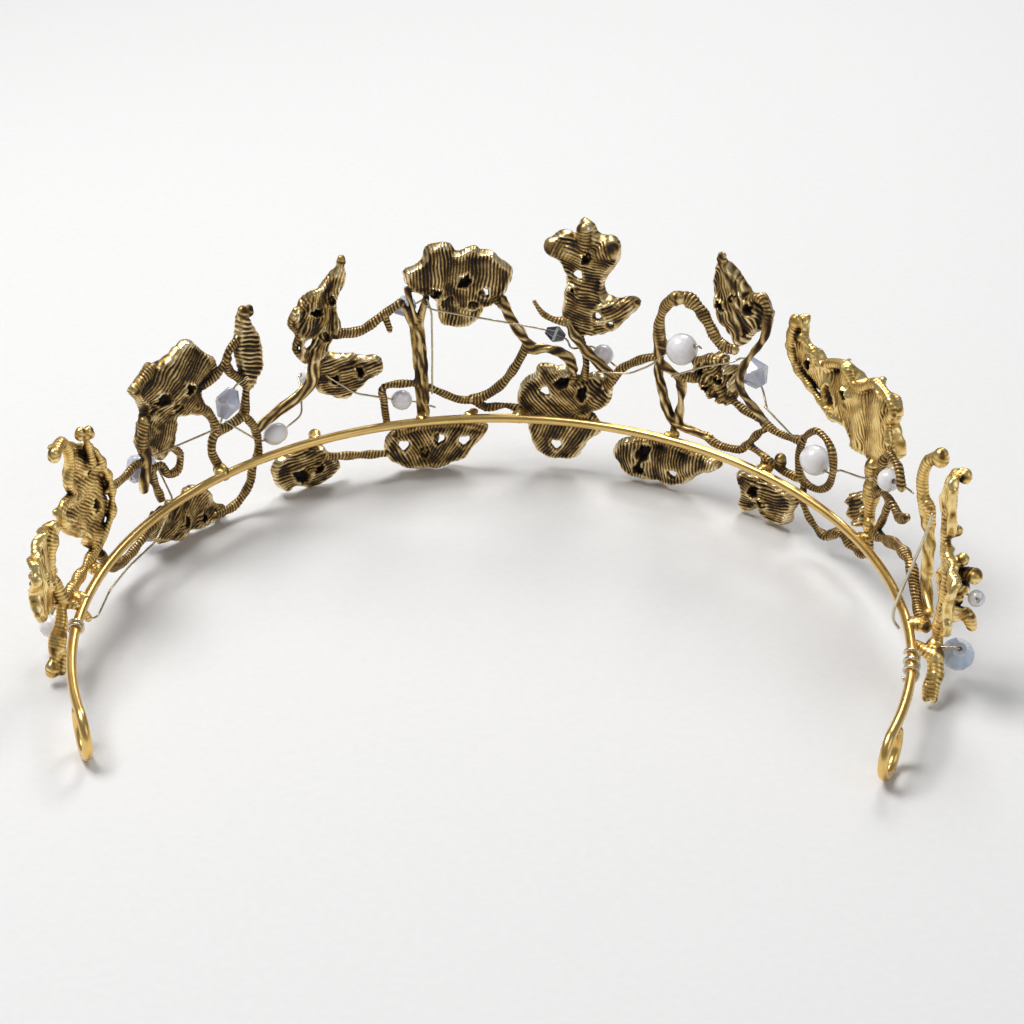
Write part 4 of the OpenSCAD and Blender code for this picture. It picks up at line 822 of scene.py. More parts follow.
# ---------------------------------------------------------------- finishes

class Maths:
    """A number that varies over a surface: Python arithmetic on it adds Math nodes."""

    def __init__(self, finish, socket):
        self.finish = finish
        self.socket = socket

    def _do(self, operation, *values):
        node = self.finish.node("ShaderNodeMath", {"operation": operation},
                                dict(enumerate(values)))
        return Maths(self.finish, node.outputs[0])

    def __add__(self, other):
        return self._do("ADD", self, other)

    def __sub__(self, other):
        return self._do("SUBTRACT", self, other)

    def __rsub__(self, other):
        return self._do("SUBTRACT", other, self)

    def __mul__(self, other):
        return self._do("MULTIPLY", self, other)

    __radd__ = __add__
    __rmul__ = __mul__

    def held(self):
        """The number kept between 0 and 1."""
        return Maths(self.finish, self.finish.node(
            "ShaderNodeClamp", {}, {"Value": self}).outputs[0])


class Finish:
    """A material in the making."""

    def __init__(self, name):
        self.material = bpy.data.materials.new(name)
        self.material.use_nodes = True
        self.tree = self.material.node_tree
        self.tree.nodes.clear()

    def node(self, kind, settings, sockets):
        """Adds a node: its settings first, then the values or links of its sockets."""
        made = self.tree.nodes.new(kind)
        for name, value in settings.items():
            if name == "stops":
                ramp = made.color_ramp
                while len(ramp.elements) < len(value):
                    ramp.elements.new(0.5)
                for element, (place, colour) in zip(ramp.elements, value):
                    element.position = place
                    element.color = (*colour[:3], 1)
            else:
                setattr(made, name, value)
        for name, value in sockets.items():
            socket = made.inputs[name]
            if isinstance(value, Maths):
                value = value.socket
            if isinstance(value, bpy.types.NodeSocket):
                self.tree.links.new(value, socket)
            elif hasattr(value, "__len__") and len(value) == 3 and len(socket.default_value) == 4:
                socket.default_value = (*value, 1)
            else:
                socket.default_value = value
        return made

    def attribute(self, name):
        return Maths(self, self.node("ShaderNodeAttribute", {"attribute_name": name},
                                     {}).outputs["Fac"])

    def place(self):
        return self.node("ShaderNodeTexCoord", {}, {}).outputs["Object"]

    def noise(self, scale, detail, rough=0.55):
        return Maths(self, self.node(
            "ShaderNodeTexNoise", {"noise_dimensions": "3D"},
            {"Vector": self.place(), "Scale": scale, "Detail": detail,
             "Roughness": rough}).outputs["Fac"])

    def ramp(self, value, stops):
        return self.node("ShaderNodeValToRGB", {"stops": stops}, {"Fac": value}).outputs["Color"]

    def bump(self, height, strength, distance):
        return self.node("ShaderNodeBump", {}, {
            "Height": height, "Strength": strength, "Distance": distance}).outputs["Normal"]

    def shader(self, **sockets):
        """Closes the material with the surface's own values."""
        names = {k.replace("_", " "): v for k, v in sockets.items()}
        surface = self.node("ShaderNodeBsdfPrincipled", {}, names)
        self.node("ShaderNodeOutputMaterial", {}, {"Surface": surface.outputs[0]})
        return self.material


def kept(make):
    """Makes each material once."""
    made = {}

    def get(name, *args):
        if name not in made:
            made[name] = make(name, *args)
        return made[name]

    return get


def paler(colour, share):
    """A colour made lighter or darker by a share."""
    return tuple(min(c * share, 1) for c in colour)


@kept
def cast_gold(name, colours, bright):
    """Cast metal with dark patina in its grooves and worn gold on its ridges, and painted shade: crevices, pits
    and fold valleys are painted darker.
    """
    f = Finish(name)
    gold, worn, polish = ((colours.bright_gold, colours.bright_crest, 0.2) if bright
                          else (colours.gold, colours.worn_gold, 0.0))
    ridge, open_air = f.attribute("ridge"), f.attribute("open")
    blotch = f.noise(260, 4)
    grain = f.noise(2600, 4, 0.65)
    # ridge crests and blotches are wear; the openness term darkens crevices as patina together with painted shade
    wear = ridge * 0.95 + (open_air - 0.8) * 0.6 + (blotch - 0.5) * 0.45 + (grain - 0.5) * 0.3
    wear = (wear + polish).held()
    colour = f.ramp(wear, [
        (0.0, (0.010, 0.007, 0.005)),
        (0.28, tuple(colours.patina)),
        (0.46, tuple(colours.bronze)),
        (0.68, tuple(gold)),
        (0.95, tuple(worn)),
    ])
    return f.shader(
        Base_Color=colour,
        Metallic=(wear * 1.6 - 0.2).held(),
        Roughness=(0.6 - wear * 0.34 + (grain - 0.5) * 0.2).held(),
        Specular_IOR_Level=0.3,
        Normal=f.bump(grain * 0.6 + f.noise(900, 3) * 0.8, 0.4, 0.00014),
    )


@kept
def band_gold(name, colours):
    """Drawn wire: satin gold with faint draw marks and scuffs."""
    f = Finish(name)
    scuff, fine = f.noise(120, 3, 0.5), f.noise(2600, 3, 0.6)
    colour = f.ramp((scuff * 0.8 + fine * 0.2).held(), [
        (0.25, paler(colours.band, 0.86)),
        (0.55, tuple(colours.band)),
        (0.8, paler(colours.band, 1.1)),
    ])
    return f.shader(
        Base_Color=colour, Metallic=1.0,
        Roughness=(0.22 + scuff * 0.08 + fine * 0.06).held(),
        Normal=f.bump(fine * 0.5, 0.1, 0.00004),
    )


@kept
def pearl_lustre(name, colours):
    """Freshwater pearl: soft white body, faint rose and green clouds under a clear lustre."""
    f = Finish(name)
    cloud, fine = f.noise(300, 3), f.noise(1500, 4, 0.6)
    colour = f.ramp((cloud * 0.7 + fine * 0.3).held(), [
        (0.3, tuple(colours.pearl_shade)),
        (0.5, tuple(colours.pearl)),
        (0.72, paler(colours.pearl, 1.08)),
    ])
    return f.shader(
        Base_Color=colour, Metallic=0.0,
        Roughness=(0.2 + cloud * 0.1).held(),
        Subsurface_Weight=0.25, Subsurface_Radius=(0.6, 0.5, 0.5), Subsurface_Scale=0.0008,
        Coat_Weight=1.0, Coat_Roughness=0.05, Sheen_Weight=0.1,
        Normal=f.bump(fine * 0.5 + cloud, 0.1, 0.0001),
    )


@kept
def crystal_glass(name, tint, deep):
    """Milky opal glass with cloudy depths, and painted reflections: each facet painted its own brightness, the
    softened edges painted as bright glints.
    """
    f = Finish(name)
    cloud = f.noise(420, 3)
    facet = f.attribute("facet")
    # the cloud term is the glass's own milkiness; the facet term is painted reflection, with painted glints on the
    # softened edges
    milk = (cloud * 0.45 + facet * 0.75 - 0.1).held()
    colour = f.ramp(milk, [
        (0.1, paler(tint, deep)),
        (0.5, tuple(tint)),
        (0.95, tuple(min(c * 0.35 + 0.66, 1) for c in tint)),
    ])
    return f.shader(
        Base_Color=colour, Roughness=(0.05 + cloud * 0.05).held(),
        Transmission_Weight=0.35, IOR=1.54, Coat_Weight=0.6, Coat_Roughness=0.03,
        Subsurface_Weight=0.3, Subsurface_Radius=(0.5, 0.55, 0.7), Subsurface_Scale=0.001,
        Normal=f.bump(cloud, 0.05, 0.0001),
    )


@kept
def thread_metal(name, metal):
    """Bright craft wire with faint handling marks."""
    f = Finish(name)
    mark, fine = f.noise(500, 4), f.noise(4000, 3)
    colour = f.ramp(mark, [
        (0.3, paler(metal, 0.7)),
        (0.6, tuple(metal)),
    ])
    return f.shader(
        Base_Color=colour, Metallic=1.0, Roughness=(0.18 + mark * 0.16).held(),
        Normal=f.bump(fine, 0.15, 0.00005),
    )


@kept
def floor_paper(name, colours):
    """Plain pale paper with a very faint tooth."""
    f = Finish(name)
    tooth = f.noise(700, 4)
    colour = f.ramp(tooth, [
        (0.3, paler(colours.floor, 0.97)),
        (0.7, tuple(colours.floor)),
    ])
    return f.shader(Base_Color=colour, Roughness=(0.7 + tooth * 0.1).held(),
                    Normal=f.bump(tooth, 0.06, 0.0002))


# ---------------------------------------------------------------- making pieces

def mesh_piece(name, points, faces, material, smooth=True, **numbers):
    """A mesh object from places in metres, with one number per point for each keyword."""
    mesh = bpy.data.meshes.new(name)
    if isinstance(faces, np.ndarray):
        faces = faces.tolist()
    mesh.from_pydata(np.asarray(points).tolist(), [], faces)
    mesh.polygons.foreach_set("use_smooth", [smooth] * len(mesh.polygons))
    for key, values in numbers.items():
        data = mesh.attributes.new(key, "FLOAT", "POINT")
        data.data.foreach_set("value", np.asarray(values, np.float32))
    mesh.materials.append(material)
    mesh.update()
    piece = bpy.data.objects.new(name, mesh)
    bpy.context.scene.collection.objects.link(piece)
    return piece


def settle(piece, body, nodes):
    """Ties a piece to its body and hides the CAD nodes that it stands for."""
    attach(piece, body)
    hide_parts(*nodes)


def tube(points, radius, sides):
    """Points and faces of a closed round tube along places in metres, a radius at each."""
    p = np.asarray(points, float)
    way = np.gradient(p, axis=0)
    way /= np.linalg.norm(way, axis=1, keepdims=True)
    up = np.cross(way[0], (0, 0, 1.0))
    if np.linalg.norm(up) < 0.1:
        up = np.cross(way[0], (1.0, 0, 0))
    ups = []
    for w in way:
        up = up - w * (up @ w)
        up = up / np.linalg.norm(up)
        ups.append(up)
    ups = np.array(ups)
    asides = np.cross(way, ups)
    angle = (np.arange(sides) * 2 * math.pi / sides)[None, :, None]
    rings = (p[:, None] + radius[:, None, None] * (
        np.cos(angle) * ups[:, None] + np.sin(angle) * asides[:, None])).reshape(-1, 3)
    n = len(p)
    i, k = np.meshgrid(np.arange(n - 1), np.arange(sides), indexing="ij")
    j = (k + 1) % sides
    faces = np.stack([i * sides + k, (i + 1) * sides + k, (i + 1) * sides + j,
                      i * sides + j], -1).reshape(-1, 4).tolist()
    first, last, end = len(rings), len(rings) + 1, (n - 1) * sides
    faces += [[first, k, (k + 1) % sides] for k in range(sides)]
    faces += [[last, end + (k + 1) % sides, end + k] for k in range(sides)]
    return np.concatenate([rings, p[[0, -1]]]), faces


def rounded_ends(points, radius, steps):
    """A tube's places and radii with a rounded end at each side."""
    p = np.asarray(points, float)
    a, b = p[0] - p[1], p[-1] - p[-2]
    a, b = a / np.linalg.norm(a), b / np.linalg.norm(b)
    angle = np.linspace(0, math.pi / 2, steps + 1)[1:]
    before = [p[0] + a * radius * math.sin(t) * 0.6 for t in angle][::-1]
    after = [p[-1] + b * radius * math.sin(t) * 0.6 for t in angle]
    small = [radius * max(math.cos(t), 0.05) for t in angle]
    return (np.array([*before, *p, *after]),
            np.array([*small[::-1], *[radius] * len(p), *small]))


def wire(points, d, sides, steps):
    """A round wire with rounded ends along places in metres."""
    return tube(*rounded_ends(points, d / 2, steps), sides)


def joined(parts):
    """Several sets of points and faces as one."""
    points, faces, start = [], [], 0
    for p, f in parts:
        points.append(np.asarray(p))
        faces += [[i + start for i in face] for face in f]
        start += len(p)
    return np.concatenate(points), faces


def bead_facts(node):
    """A bead's centre, bore direction, half length, widest radius and bore radius, in metres."""
    joint = SPINS[node]
    centre, axis = Vector(joint["pos_m"]), Vector(joint["axis"]).normalized()
    steps = [v.co - centre for v in frame["nodes"][node].data.vertices]
    along = [d.dot(axis) for d in steps]
    out = [(d - axis * d.dot(axis)).length for d in steps]
    return centre, axis, (max(along) - min(along)) / 2, max(out), min(out)


def bead_place(node):
    """The move that puts a bead made along X on its bore."""
    centre, axis, *_ = bead_facts(node)
    turn = Vector((1, 0, 0)).rotation_difference(axis)
    return Matrix.Translation(centre) @ turn.to_matrix().to_4x4()


def taut_through(points, bend=1.2, steps=7):
    """Straight runs between points, turning each corner in a short bend."""
    p = np.asarray(points, float)
    made = [p[0]]
    for a, b, c in zip(p, p[1:], p[2:]):
        back, ahead = a - b, c - b
        short = min(bend, 0.45 * np.linalg.norm(back), 0.45 * np.linalg.norm(ahead))
        start = b + back / np.linalg.norm(back) * short
        end = b + ahead / np.linalg.norm(ahead) * short
        made += [(1 - t) ** 2 * start + 2 * t * (1 - t) * b + t**2 * end
                 for t in np.linspace(0, 1, steps)]
    made.append(p[-1])
    return np.array(made)


def thread_path(route):
    """Places in metres of a thread's route: wall points, and the beads that it runs through.

    A minus before a bead's name runs the thread through it the other way round.
    """
    places = []
    for stop in route:
        if isinstance(stop, str):
            centre, axis, half, _, _ = bead_facts(stop.lstrip("-"))
            side = -1 if stop.startswith("-") else 1
            for reach in (-half - BORE_EXIT, half + BORE_EXIT):
                places.append(np.array(centre + axis * reach * side))
        else:
            places.append(on_wall([stop])[0])
    return taut_through(np.array(places) / MM) * MM


BORE_EXIT = 0.0006  # a thread leaves its bead this far straight
THREADS = {
    "thread_left": [
        [(-113.3, 6.5, -2.6), (-110.5, 5.2, -3.4), (-103.5, 7, -3.6), (-94.6, 7, -3.4),
         (-83, 6.2, -2.2), (-76.2, 11.6, -1.5), "-crystal_left_side", (-83, 20, 2.4),
         (-82, 23.4, -1.3), (-62.6, 21.6, -0.9), "crystal_left_stem", (-55.4, 30.4, -1.6)],
    ],
    "thread_left_centre": [
        [(-61, 22.4, -1.1), (-54.6, 16.6, -1.6), "pearl_left_oval", (-43.8, 18.8, -1.7),
         (-42.6, 22.8, 0.6), "pearl_left_centre", (-35.6, 22.8, 2.6), (-38.2, 26, -1.2),
         (-31.9, 20.8, -1.6), "pearl_post", (-15.4, 15.4, -1.4)],
    ],
    "thread_arch": [
        [(-17.6, 38.4, -0.9), (-16, 37.2, -1.7), "crystal_dark", (12.3, 28.7, -1.5),
         "pearl_crown", (22.4, 24, 1.4)],
        [(-16, 18.6, -1.5), (-15.8, 27, -1.6), (-15.8, 36.6, -1.6), (-16.6, 39, -1)],
    ],
    "thread_centre": [
        [(18, 24.5, -1.8), (24.8, 25.2, -1.9), (29.2, 27.8, -1.8), "pearl_ring",
         (38.8, 32.6, 0.8)],
        [(33.5, 26, -1), (34.2, 26.6, -1.6), (40.8, 30.2, -1.6), (47, 32.8, -1.2),
         "crystal_right_leaf", (56, 25.8, -1.5)],
    ],
    "thread_right": [
        [(55.4, 26.2, -1.6), "pearl_right_ring", (77, 21.6, -1.6), (84.6, 23.6, -1.6),
         "pearl_right_side", (98, 28.4, 0.2), (101.8, 29.4, 0)],
    ],
}
PINS = [["pearl_left_end", (-112.4, 10.2, 1.2)], ["crystal_left_low", (-73, 5.5, 0.6)],
        ["crystal_arch", (-15.6, 39.6, 0.6)], ["stone_right_end", (118, 19, 4.6)],
        ["crystal_right_end", (119.4, 8.6, 2)]]
STAY = [(109.8, 29.6, 1.2), (109.8, 25, 0.2), (109.6, 18.6, -1.6), (109.4, 13, -3.2),
        (109.2, 9.4, -3.9), (109.2, 7.4, -3.6), (109.8, 6.3, -2.8)]
# Each lashing's node, where it starts along the band, its turns and its pitch.
LASHINGS = (("lashing_left", -123, 1.5, 1.2), ("lashing_right", 124, 3, 2.6))
PEARLS = [n for n in SPINS if n.startswith("pearl") or n.startswith("stone")]
CRYSTALS = [n for n in SPINS if n.startswith("crystal")]


# ---------------------------------------------------------------- settings

def length_setting(name, description, default):
    return bpy.props.FloatProperty(name=name, description=description, default=default,
                                   min=0.0, unit="LENGTH", subtype="DISTANCE")


def colour_setting(name, description, default):
    return bpy.props.FloatVectorProperty(name=name, description=description, default=default,
                                         size=3, min=0.0, max=1.0, subtype="COLOR")


class TiaraSizes(bpy.types.PropertyGroup):
    """Sizes of the tiara's parts."""

    wire_d: length_setting("Band wire", "Diameter of the band wire", WIRE_D * MM)
    thread_d: length_setting("Thread", "Diameter of the threading wire", 0.4 * MM)
    lashing_d: length_setting("Lashing", "Diameter of the lashing wire", 0.6 * MM)
    mould_step: length_setting("Mould step", "Step at which the castings are modelled",
                               (0.2) * MM)
    loop_turn: bpy.props.FloatProperty(
        name="Loop turn", description="Angle through which each band end is curled",
        default=math.radians(300), subtype="ANGLE")


class TiaraColours(bpy.types.PropertyGroup):
    """Colours of the tiara's finishes."""

    band: colour_setting("Band gold", "Satin gold of the band wire", (0.86, 0.58, 0.20))
    worn_gold: colour_setting("Worn gold", "Polished crests of the castings", (0.96, 0.82, 0.52))
    gold: colour_setting("Gold", "Gold on the ridges of the castings", (0.56, 0.37, 0.12))
    bright_crest: colour_setting("Bright crest", "Crests of the brighter end castings",
                                 (0.98, 0.76, 0.34))
    bright_gold: colour_setting("Bright gold", "Gold of the brighter end castings",
                                (0.74, 0.47, 0.13))
    bronze: colour_setting("Bronze", "Brown metal between groove and ridge", (0.13, 0.07, 0.022))
    patina: colour_setting("Patina", "Dark patina in the grooves", (0.022, 0.014, 0.008))
    pearl: colour_setting("Pearl", "Body of the pearls", (0.97, 0.94, 0.93))
    pearl_shade: colour_setting("Pearl shade", "Faint clouds in the pearls", (0.78, 0.72, 0.78))
    opal: colour_setting("Opal", "Milky blue crystals", (0.66, 0.70, 0.86))
    lavender: colour_setting("Lavender", "Milky lavender crystal", (0.70, 0.64, 0.86))
    blue_opal: colour_setting("Blue opal", "Pale blue crystal at the right end",
                              (0.62, 0.75, 0.93))
    smoke: colour_setting("Smoke", "Dark crystal", (0.07, 0.08, 0.10))
    clear: colour_setting("Clear", "Bright bead at the right end", (0.88, 0.88, 0.9))
    thread: colour_setting("Thread", "Pale gold threading wire", (0.66, 0.56, 0.38))
    lashing: colour_setting("Lashing", "Silvery lashing wire", (0.80, 0.72, 0.56))
    floor: colour_setting("Floor", "Pale paper under the tiara", (0.80, 0.79, 0.77))


# ---------------------------------------------------------------- operators

def cast_sprays(context, names):
    """Casts the named sprays, each in the finish of its slot."""
    sizes, colours = context.scene.tiara_sizes, context.scene.tiara_colours
    for name in names:
        seed = BLOSSOM_SEED + 31 * list(SPRAYS).index(name)
        points, faces, ridge, open_air = cast(SPRAYS[name], sizes.mould_step / MM, seed)
        bright = SLOTS[name] == "bright_gold"
        material = cast_gold("bright_cast_gold" if bright else "antique_cast_gold",
                             colours, bright)
        # the ridge and open attributes carry worn crests, patina and painted shade into the cast gold
        piece = mesh_piece(name + "_casting", on_wall(points), faces, material,
                           ridge=ridge, open=open_air)
        settle(piece, BODY, [name])


class TIARA_OT_left_sprays(bpy.types.Operator):
    """Casts the leaves and blossoms of the left side"""

    bl_idname = "tiara.left_sprays"
    bl_label = "Left sprays"

    def execute(self, context):
        cast_sprays(context, [n for n in SPRAYS if n.startswith("left")])
        return {"FINISHED"}


class TIARA_OT_centre_sprays(bpy.types.Operator):
    """Casts the arch flower, the crown flower and what stands between them"""

    bl_idname = "tiara.centre_sprays"
    bl_label = "Centre sprays"

    def execute(self, context):
        cast_sprays(context, [n for n in SPRAYS if not n.startswith(("left", "right"))])
        return {"FINISHED"}


class TIARA_OT_right_sprays(bpy.types.Operator):
    """Casts the leaves and blossoms of the right side"""

    bl_idname = "tiara.right_sprays"
    bl_label = "Right sprays"

    def execute(self, context):
        cast_sprays(context, [n for n in SPRAYS if n.startswith("right")])
        return {"FINISHED"}


class TIARA_OT_band(bpy.types.Operator):
    """Bends the band wire with its two curled end loops"""

    bl_idname = "tiara.band"
    bl_label = "Band"

    def execute(self, context):
        sizes, colours = context.scene.tiara_sizes, context.scene.tiara_colours
        turns = np.linspace(-HALF_TURN, HALF_TURN, 241)
        middle = np.stack([
            BAND_R * np.sin(turns) + CENTRE[0],
            BAND_R * np.cos(turns) * math.cos(TILT) + CENTRE[1],
            BAND_TOP - BAND_R * math.sin(TILT) * (1 - np.cos(turns)),
        ], 1)
        ends = []
        up = np.array([0, 0, 1.0])
        for side in (-1, 1):
            start = middle[-1] if side > 0 else middle[0]
            ahead = np.array([side * math.cos(HALF_TURN), -math.sin(HALF_TURN), 0])
            aside = np.array([ahead[1], -ahead[0], 0]) * side
            curl = np.linspace(0, sizes.loop_turn, 72)[1:, None]
            ends.append(start - LOOP_R * up + LOOP_R * (np.sin(curl) * ahead + np.cos(curl) * up)
                        + 0.12 * np.sin(curl / 2) * aside)
        route = np.concatenate([ends[0][::-1], middle, ends[1]]) * MM
        piece = mesh_piece("band_wire_and_loops", *wire(route, sizes.wire_d, 24, 4),
                           band_gold("satin_band_gold", colours))
        settle(piece, BODY, ["band_wire", "left_end_loop", "right_end_loop"])
        return {"FINISHED"}


def drilled_round(half, wide, bore, seed, sides=56):
    """Points and faces of an uneven round bead, drilled along X."""
    start = math.asin(min(bore / wide, 1))
    arc = np.linspace(start, math.pi - start, 33)
    profile = [(-math.cos(a) * half, math.sin(a) * wide) for a in arc]
    ends = profile[0][0]
    inner = [(-ends * t, bore * 0.96) for t in np.linspace(1, -1, 9)]
    lip = 0.048 * wide
    profile[0] = (profile[0][0] + lip, bore * 1.05)
    profile[-1] = (profile[-1][0] - lip, bore * 1.05)
    ring = np.array(profile + inner[1:-1])
    angle = np.arange(sides) * 2 * math.pi / sides
    points = np.stack([np.repeat(ring[:, :1], sides, 1), ring[:, 1:] * np.cos(angle),
                       ring[:, 1:] * np.sin(angle)], -1).reshape(-1, 3)
    points *= (1 - 0.012 * (1 + swell(*(points / wide).T, 1.6, seed)))[:, None]
    return points, ring_faces(len(ring), sides)


def ring_faces(rings, sides):
    """Four-sided faces round a closed run of rings."""
    return [[i * sides + j, i * sides + (j + 1) % sides,
             (i + 1) % rings * sides + (j + 1) % sides, (i + 1) % rings * sides + j]
            for i in range(rings) for j in range(sides)]


class TIARA_OT_pearls(bpy.types.Operator):
    """Turns the drilled pearls, each slightly uneven"""

    bl_idname = "tiara.pearls"
    bl_label = "Pearls"

    def execute(self, context):
        colours = context.scene.tiara_colours
        for k, node in enumerate(PEARLS):
            points, faces = drilled_round(*bead_facts(node)[2:], BEAD_SEED + k)
            if node.startswith("stone"):
                material = crystal_glass("clear_crystal", colours.clear, 0.8)
            else:
                material = pearl_lustre("pearl_lustre", colours)
            piece = mesh_piece(node + "_bead", points, faces, material,
                               facet=np.ones(len(points)))
            piece.data.transform(bead_place(node))
            settle(piece, node, [node])
        return {"FINISHED"}


def drilled_bicone(name, half, wide, bore, sides, bevel):
    """A mesh of a bicone with ground facets and softened edges, drilled along X."""
    table, girdle = wide / 2.4, half * 0.10
    rings = [(-half, bore), (-half, table), (-girdle, wide), (girdle, wide), (half, table),
             (half, bore)]
    angle = np.arange(sides) * 2 * math.pi / sides
    points = []
    for i, (x, r) in enumerate(rings):
        shift = math.pi / sides if i in (3, 4, 5) else 0
        points += [(x, r * math.cos(a + shift), r * math.sin(a + shift)) for a in angle]
    faces = []
    for i in range(len(rings)):
        a, b = i * sides, (i + 1) % len(rings) * sides
        for j in range(sides):
            m = (j + 1) % sides
            if i == 2:
                faces += [[a + j, a + m, b + j], [a + m, b + m, b + j]]
            elif i == 5:
                faces += [[a + j, a + m, b + m], [a + j, b + m, b + j]]
            else:
                faces.append([a + j, a + m, b + m, b + j])
    body = bmesh.new()
    corners = [body.verts.new(p) for p in points]
    for face in faces:
        body.faces.new([corners[i] for i in face])
    bmesh.ops.recalc_face_normals(body, faces=body.faces)
    edges = [e for e in body.edges if all(
        math.hypot(v.co.y, v.co.z) > bore * 1.2 for v in e.verts)]
    bmesh.ops.bevel(body, geom=edges, offset=bevel * wide, segments=2, affect="EDGES",
                    profile=0.7)
    mesh = bpy.data.meshes.new(name)
    body.to_mesh(mesh)
    body.free()
    return mesh


def tint_facets(mesh, seed):
    """Paints each facet its own brightness as a painted reflection, and the softened edges full brightness as
    painted glints.
    """
    # painted reflections: a random brightness for each facet, and full brightness on the small bevel faces as
    # painted glints
    tint = np.random.default_rng(seed).uniform(0.15, 0.85, len(mesh.polygons))
    area = np.array([p.area for p in mesh.polygons])
    tint[area < 0.25 * np.median(np.sort(area)[-16:])] = 1.0
    facet = mesh.attributes.new("facet", "FLOAT", "FACE")
    facet.data.foreach_set("value", tint.astype(np.float32))


class TIARA_OT_crystals(bpy.types.Operator):
    """Cuts the drilled bicone crystals with their ground facets"""

    bl_idname = "tiara.crystals"
    bl_label = "Crystals"

    def execute(self, context):
        colours = context.scene.tiara_colours
        tints = {"opal_crystal": (colours.opal, 0.62),
                 "lavender_crystal": (colours.lavender, 0.62),
                 "blue_opal": (colours.blue_opal, 0.86),
                 "smoke_crystal": (colours.smoke, 0.35)}
        for k, node in enumerate(CRYSTALS):
            sides, bevel = (12, 0.09) if node == "crystal_right_end" else (8, 0.03)
            mesh = drilled_bicone(node + "_bead", *bead_facts(node)[2:], sides, bevel)
            tint_facets(mesh, CRYSTAL_SEED + k)
            slot = SLOTS[node]
            mesh.materials.append(crystal_glass(slot, *tints[slot]))
            mesh.transform(bead_place(node))
            piece = bpy.data.objects.new(node + "_bead", mesh)
            context.scene.collection.objects.link(piece)
            settle(piece, node, [node])
        return {"FINISHED"}


class TIARA_OT_threads(bpy.types.Operator):
    """Runs the fine wires through the beads and pins the loose beads"""

    bl_idname = "tiara.threads"
    bl_label = "Threads"

    def execute(self, context):
        sizes, colours = context.scene.tiara_sizes, context.scene.tiara_colours
        material = thread_metal("thread_wire", colours.thread)
        for node, routes in {**THREADS, "bead_pins": PINS}.items():
            wires = [wire(thread_path(route), sizes.thread_d, 10, 2) for route in routes]
            settle(mesh_piece(node + "_run", *joined(wires), material), BODY, [node])
        return {"FINISHED"}


class TIARA_OT_lashings(bpy.types.Operator):
    """Winds the thicker pale wire on both sides of the band"""

    bl_idname = "tiara.lashings"
    bl_label = "Lashings"

    def execute(self, context):
        sizes, colours = context.scene.tiara_sizes, context.scene.tiara_colours
        material = thread_metal("lashing_wire", colours.lashing)
        coil_r = (sizes.wire_d + sizes.lashing_d) / 2 / MM + 0.05
        for node, start, turns, pitch in LASHINGS:
            route = []
            for i in np.arange(int(turns * 28) + 1) / 28:
                s, h, o = along_band(start + pitch * i)
                a = 2 * math.pi * i
                route.append((s, h + coil_r * math.sin(a), o - coil_r * math.cos(a)))
            coil = wire(on_wall(route), sizes.lashing_d, 14, 3)
            settle(mesh_piece(node + "_turns", *coil, material), BODY, [node])
        stay = wire(on_wall(curve_through(STAY, 0.4)), sizes.lashing_d, 14, 3)
        settle(mesh_piece("thread_right_end_stay", *stay, material), BODY,
               ["thread_right_end"])
        return {"FINISHED"}


class TIARA_OT_solder(bpy.types.Operator):
    """Flows the lumps of solder between the band and the sprays"""

    bl_idname = "tiara.solder"
    bl_label = "Solder joints"

    def execute(self, context):
        sizes, colours = context.scene.tiara_sizes, context.scene.tiara_colours
        joints, ridge, open_air = [], [], []
        for k, s in enumerate(SOLDER_AT):
            middle = along_band(s, 0.5)
            lump = [stalk([middle, (s + 0.3, middle[1] + 0.3, -0.4)], 2.3, 2.2, depth=0.06,
                          lump=0.25),
                    stalk([(s - 0.8, middle[1] + 0.5, middle[2] + 0.4),
                           (s + 0.9, middle[1] + 0.6, -0.6)], 1.3, 1.2, depth=0.05)]
            points, faces, high, air = cast(lump, sizes.mould_step / MM, SOLDER_SEED + k)
            joints.append((on_wall(points), faces.tolist()))
            ridge.append(high)
            open_air.append(air)
        material = cast_gold("bright_cast_gold", colours, True)
        piece = mesh_piece("solder_lumps", *joined(joints), material,
                           ridge=np.concatenate(ridge), open=np.concatenate(open_air))
        settle(piece, BODY, ["solder_joints"])
        return {"FINISHED"}


# Each light's place in metres, power in watts and size in metres.
LIGHTS = {
    "key_light": ((-0.3, 0.05, 0.7), 4.4, 0.35),
    "fill_light": ((0.6, -0.4, 0.45), 0.8, 0.5),
    "rim_light": ((0.15, 0.6, 0.6), 2.4, 0.3),
}
LIT_PLACE = Vector((0, 0, 0.02))
SKY, SKY_STRENGTH = (0.86, 0.9, 1.0, 1), 0.25
FLOOR_REACH, FLOOR_Z = 1.6, -0.0002
EYE, DIP, ASIDE = (0.01715, -0.3807, 0.240), math.radians(-30), (-0.0427, 0.9991)
LENS, SENSOR, CLIP = 85.08, 36.0, (0.01, 10.0)


def aimed(name, data, place, way):
    """Puts a light or the camera at a place, facing a way."""
    thing = bpy.data.objects.new(name, data)
    thing.location = place
    thing.rotation_mode = "QUATERNION"
    thing.rotation_quaternion = way.to_track_quat("-Z", "Y")
    bpy.context.scene.collection.objects.link(thing)
    return thing


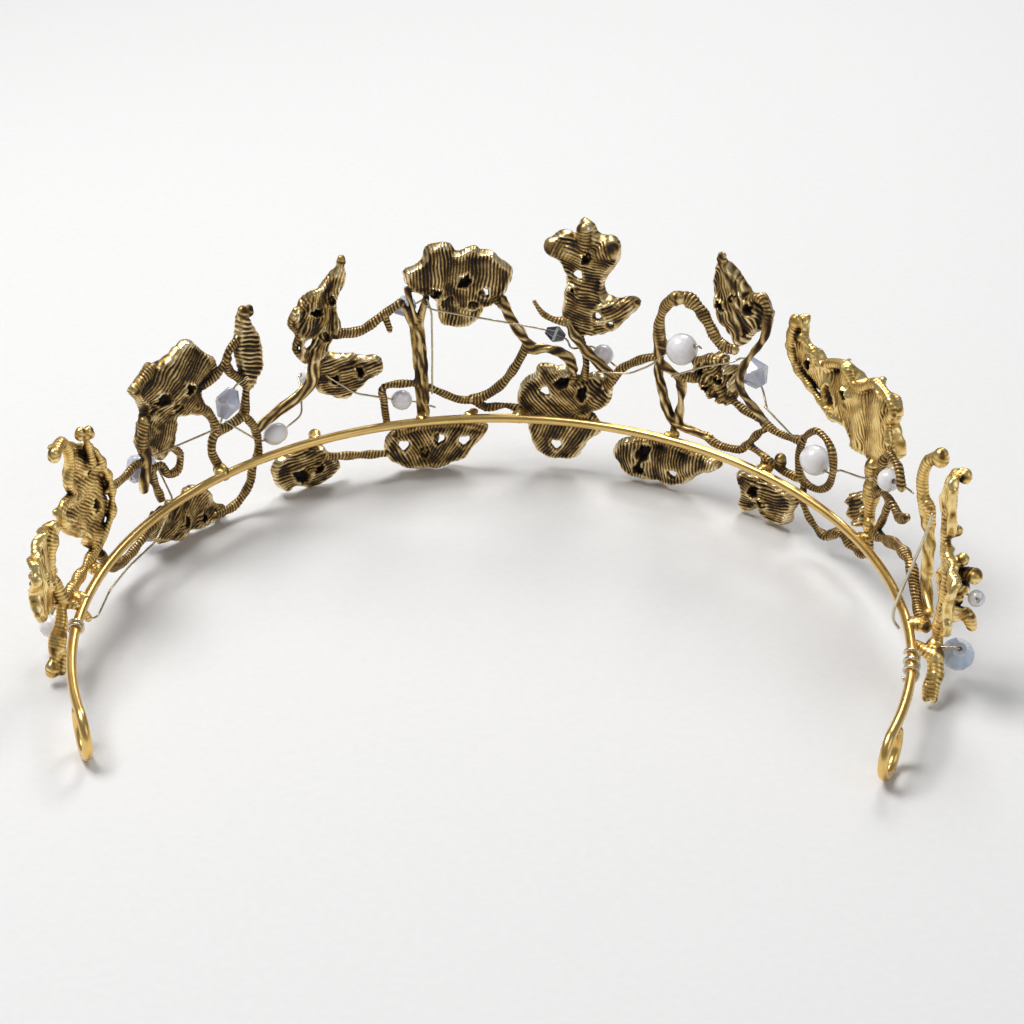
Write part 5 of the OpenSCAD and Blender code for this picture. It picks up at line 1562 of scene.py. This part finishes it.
class TIARA_OT_stage(bpy.types.Operator):
    """Sets the pale floor, the soft lights and the camera"""

    bl_idname = "tiara.stage"
    bl_label = "Stage"

    def execute(self, context):
        scene = context.scene
        corners = [(FLOOR_REACH * x, FLOOR_REACH * y, FLOOR_Z)
                   for x, y in ((-1, -1), (1, -1), (1, 1), (-1, 1))]
        floor = mesh_piece("floor", corners, [[0, 1, 2, 3]],
                           floor_paper("pale_paper", scene.tiara_colours), smooth=False)
        floor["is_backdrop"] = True
        for name, (place, power, size) in LIGHTS.items():
            light = bpy.data.lights.new(name, "AREA")
            light.energy, light.size = power, size
            aimed(name, light, place, LIT_PLACE - Vector(place))
        world = bpy.data.worlds.new("studio")
        world.use_nodes = True
        background = world.node_tree.nodes["Background"].inputs
        background["Color"].default_value = SKY
        background["Strength"].default_value = SKY_STRENGTH
        scene.world = world
        scene.view_settings.view_transform = "Standard"
        camera = bpy.data.cameras.new("camera")
        camera.lens, camera.sensor_width = LENS, SENSOR
        camera.clip_start, camera.clip_end = CLIP
        look = Vector((ASIDE[0] * math.cos(DIP), ASIDE[1] * math.cos(DIP), math.sin(DIP)))
        scene.camera = aimed("camera", camera, EYE, look)
        return {"FINISHED"}


OPERATORS = (
    TIARA_OT_stage, TIARA_OT_band, TIARA_OT_left_sprays, TIARA_OT_centre_sprays,
    TIARA_OT_right_sprays, TIARA_OT_solder, TIARA_OT_pearls, TIARA_OT_crystals,
    TIARA_OT_threads, TIARA_OT_lashings,
)


class TIARA_PT_panel(bpy.types.Panel):
    """Sizes, colours and the pieces of the tiara"""

    bl_idname = "TIARA_PT_panel"
    bl_label = "Bridal tiara"
    bl_space_type = "VIEW_3D"
    bl_region_type = "UI"
    bl_category = "Tiara"

    def draw(self, context):
        for group in (context.scene.tiara_sizes, context.scene.tiara_colours):
            box = self.layout.box()
            for name in group.__annotations__:
                box.prop(group, name)
        for operator in OPERATORS:
            self.layout.operator(operator.bl_idname)


CLASSES = (TiaraSizes, TiaraColours, *OPERATORS, TIARA_PT_panel)


def register():
    for each in CLASSES:
        bpy.utils.register_class(each)
    bpy.types.Scene.tiara_sizes = bpy.props.PointerProperty(type=TiaraSizes)
    bpy.types.Scene.tiara_colours = bpy.props.PointerProperty(type=TiaraColours)


def unregister():
    del bpy.types.Scene.tiara_sizes
    del bpy.types.Scene.tiara_colours
    for each in reversed(CLASSES):
        bpy.utils.unregister_class(each)


def main():
    register()
    for operator in OPERATORS:
        family, name = operator.bl_idname.split(".")
        getattr(getattr(bpy.ops, family), name)()
    sizes = {"cad": CAD_BOX, "visual": [list(corner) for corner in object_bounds()]}


if __name__ == "__main__":
    main()
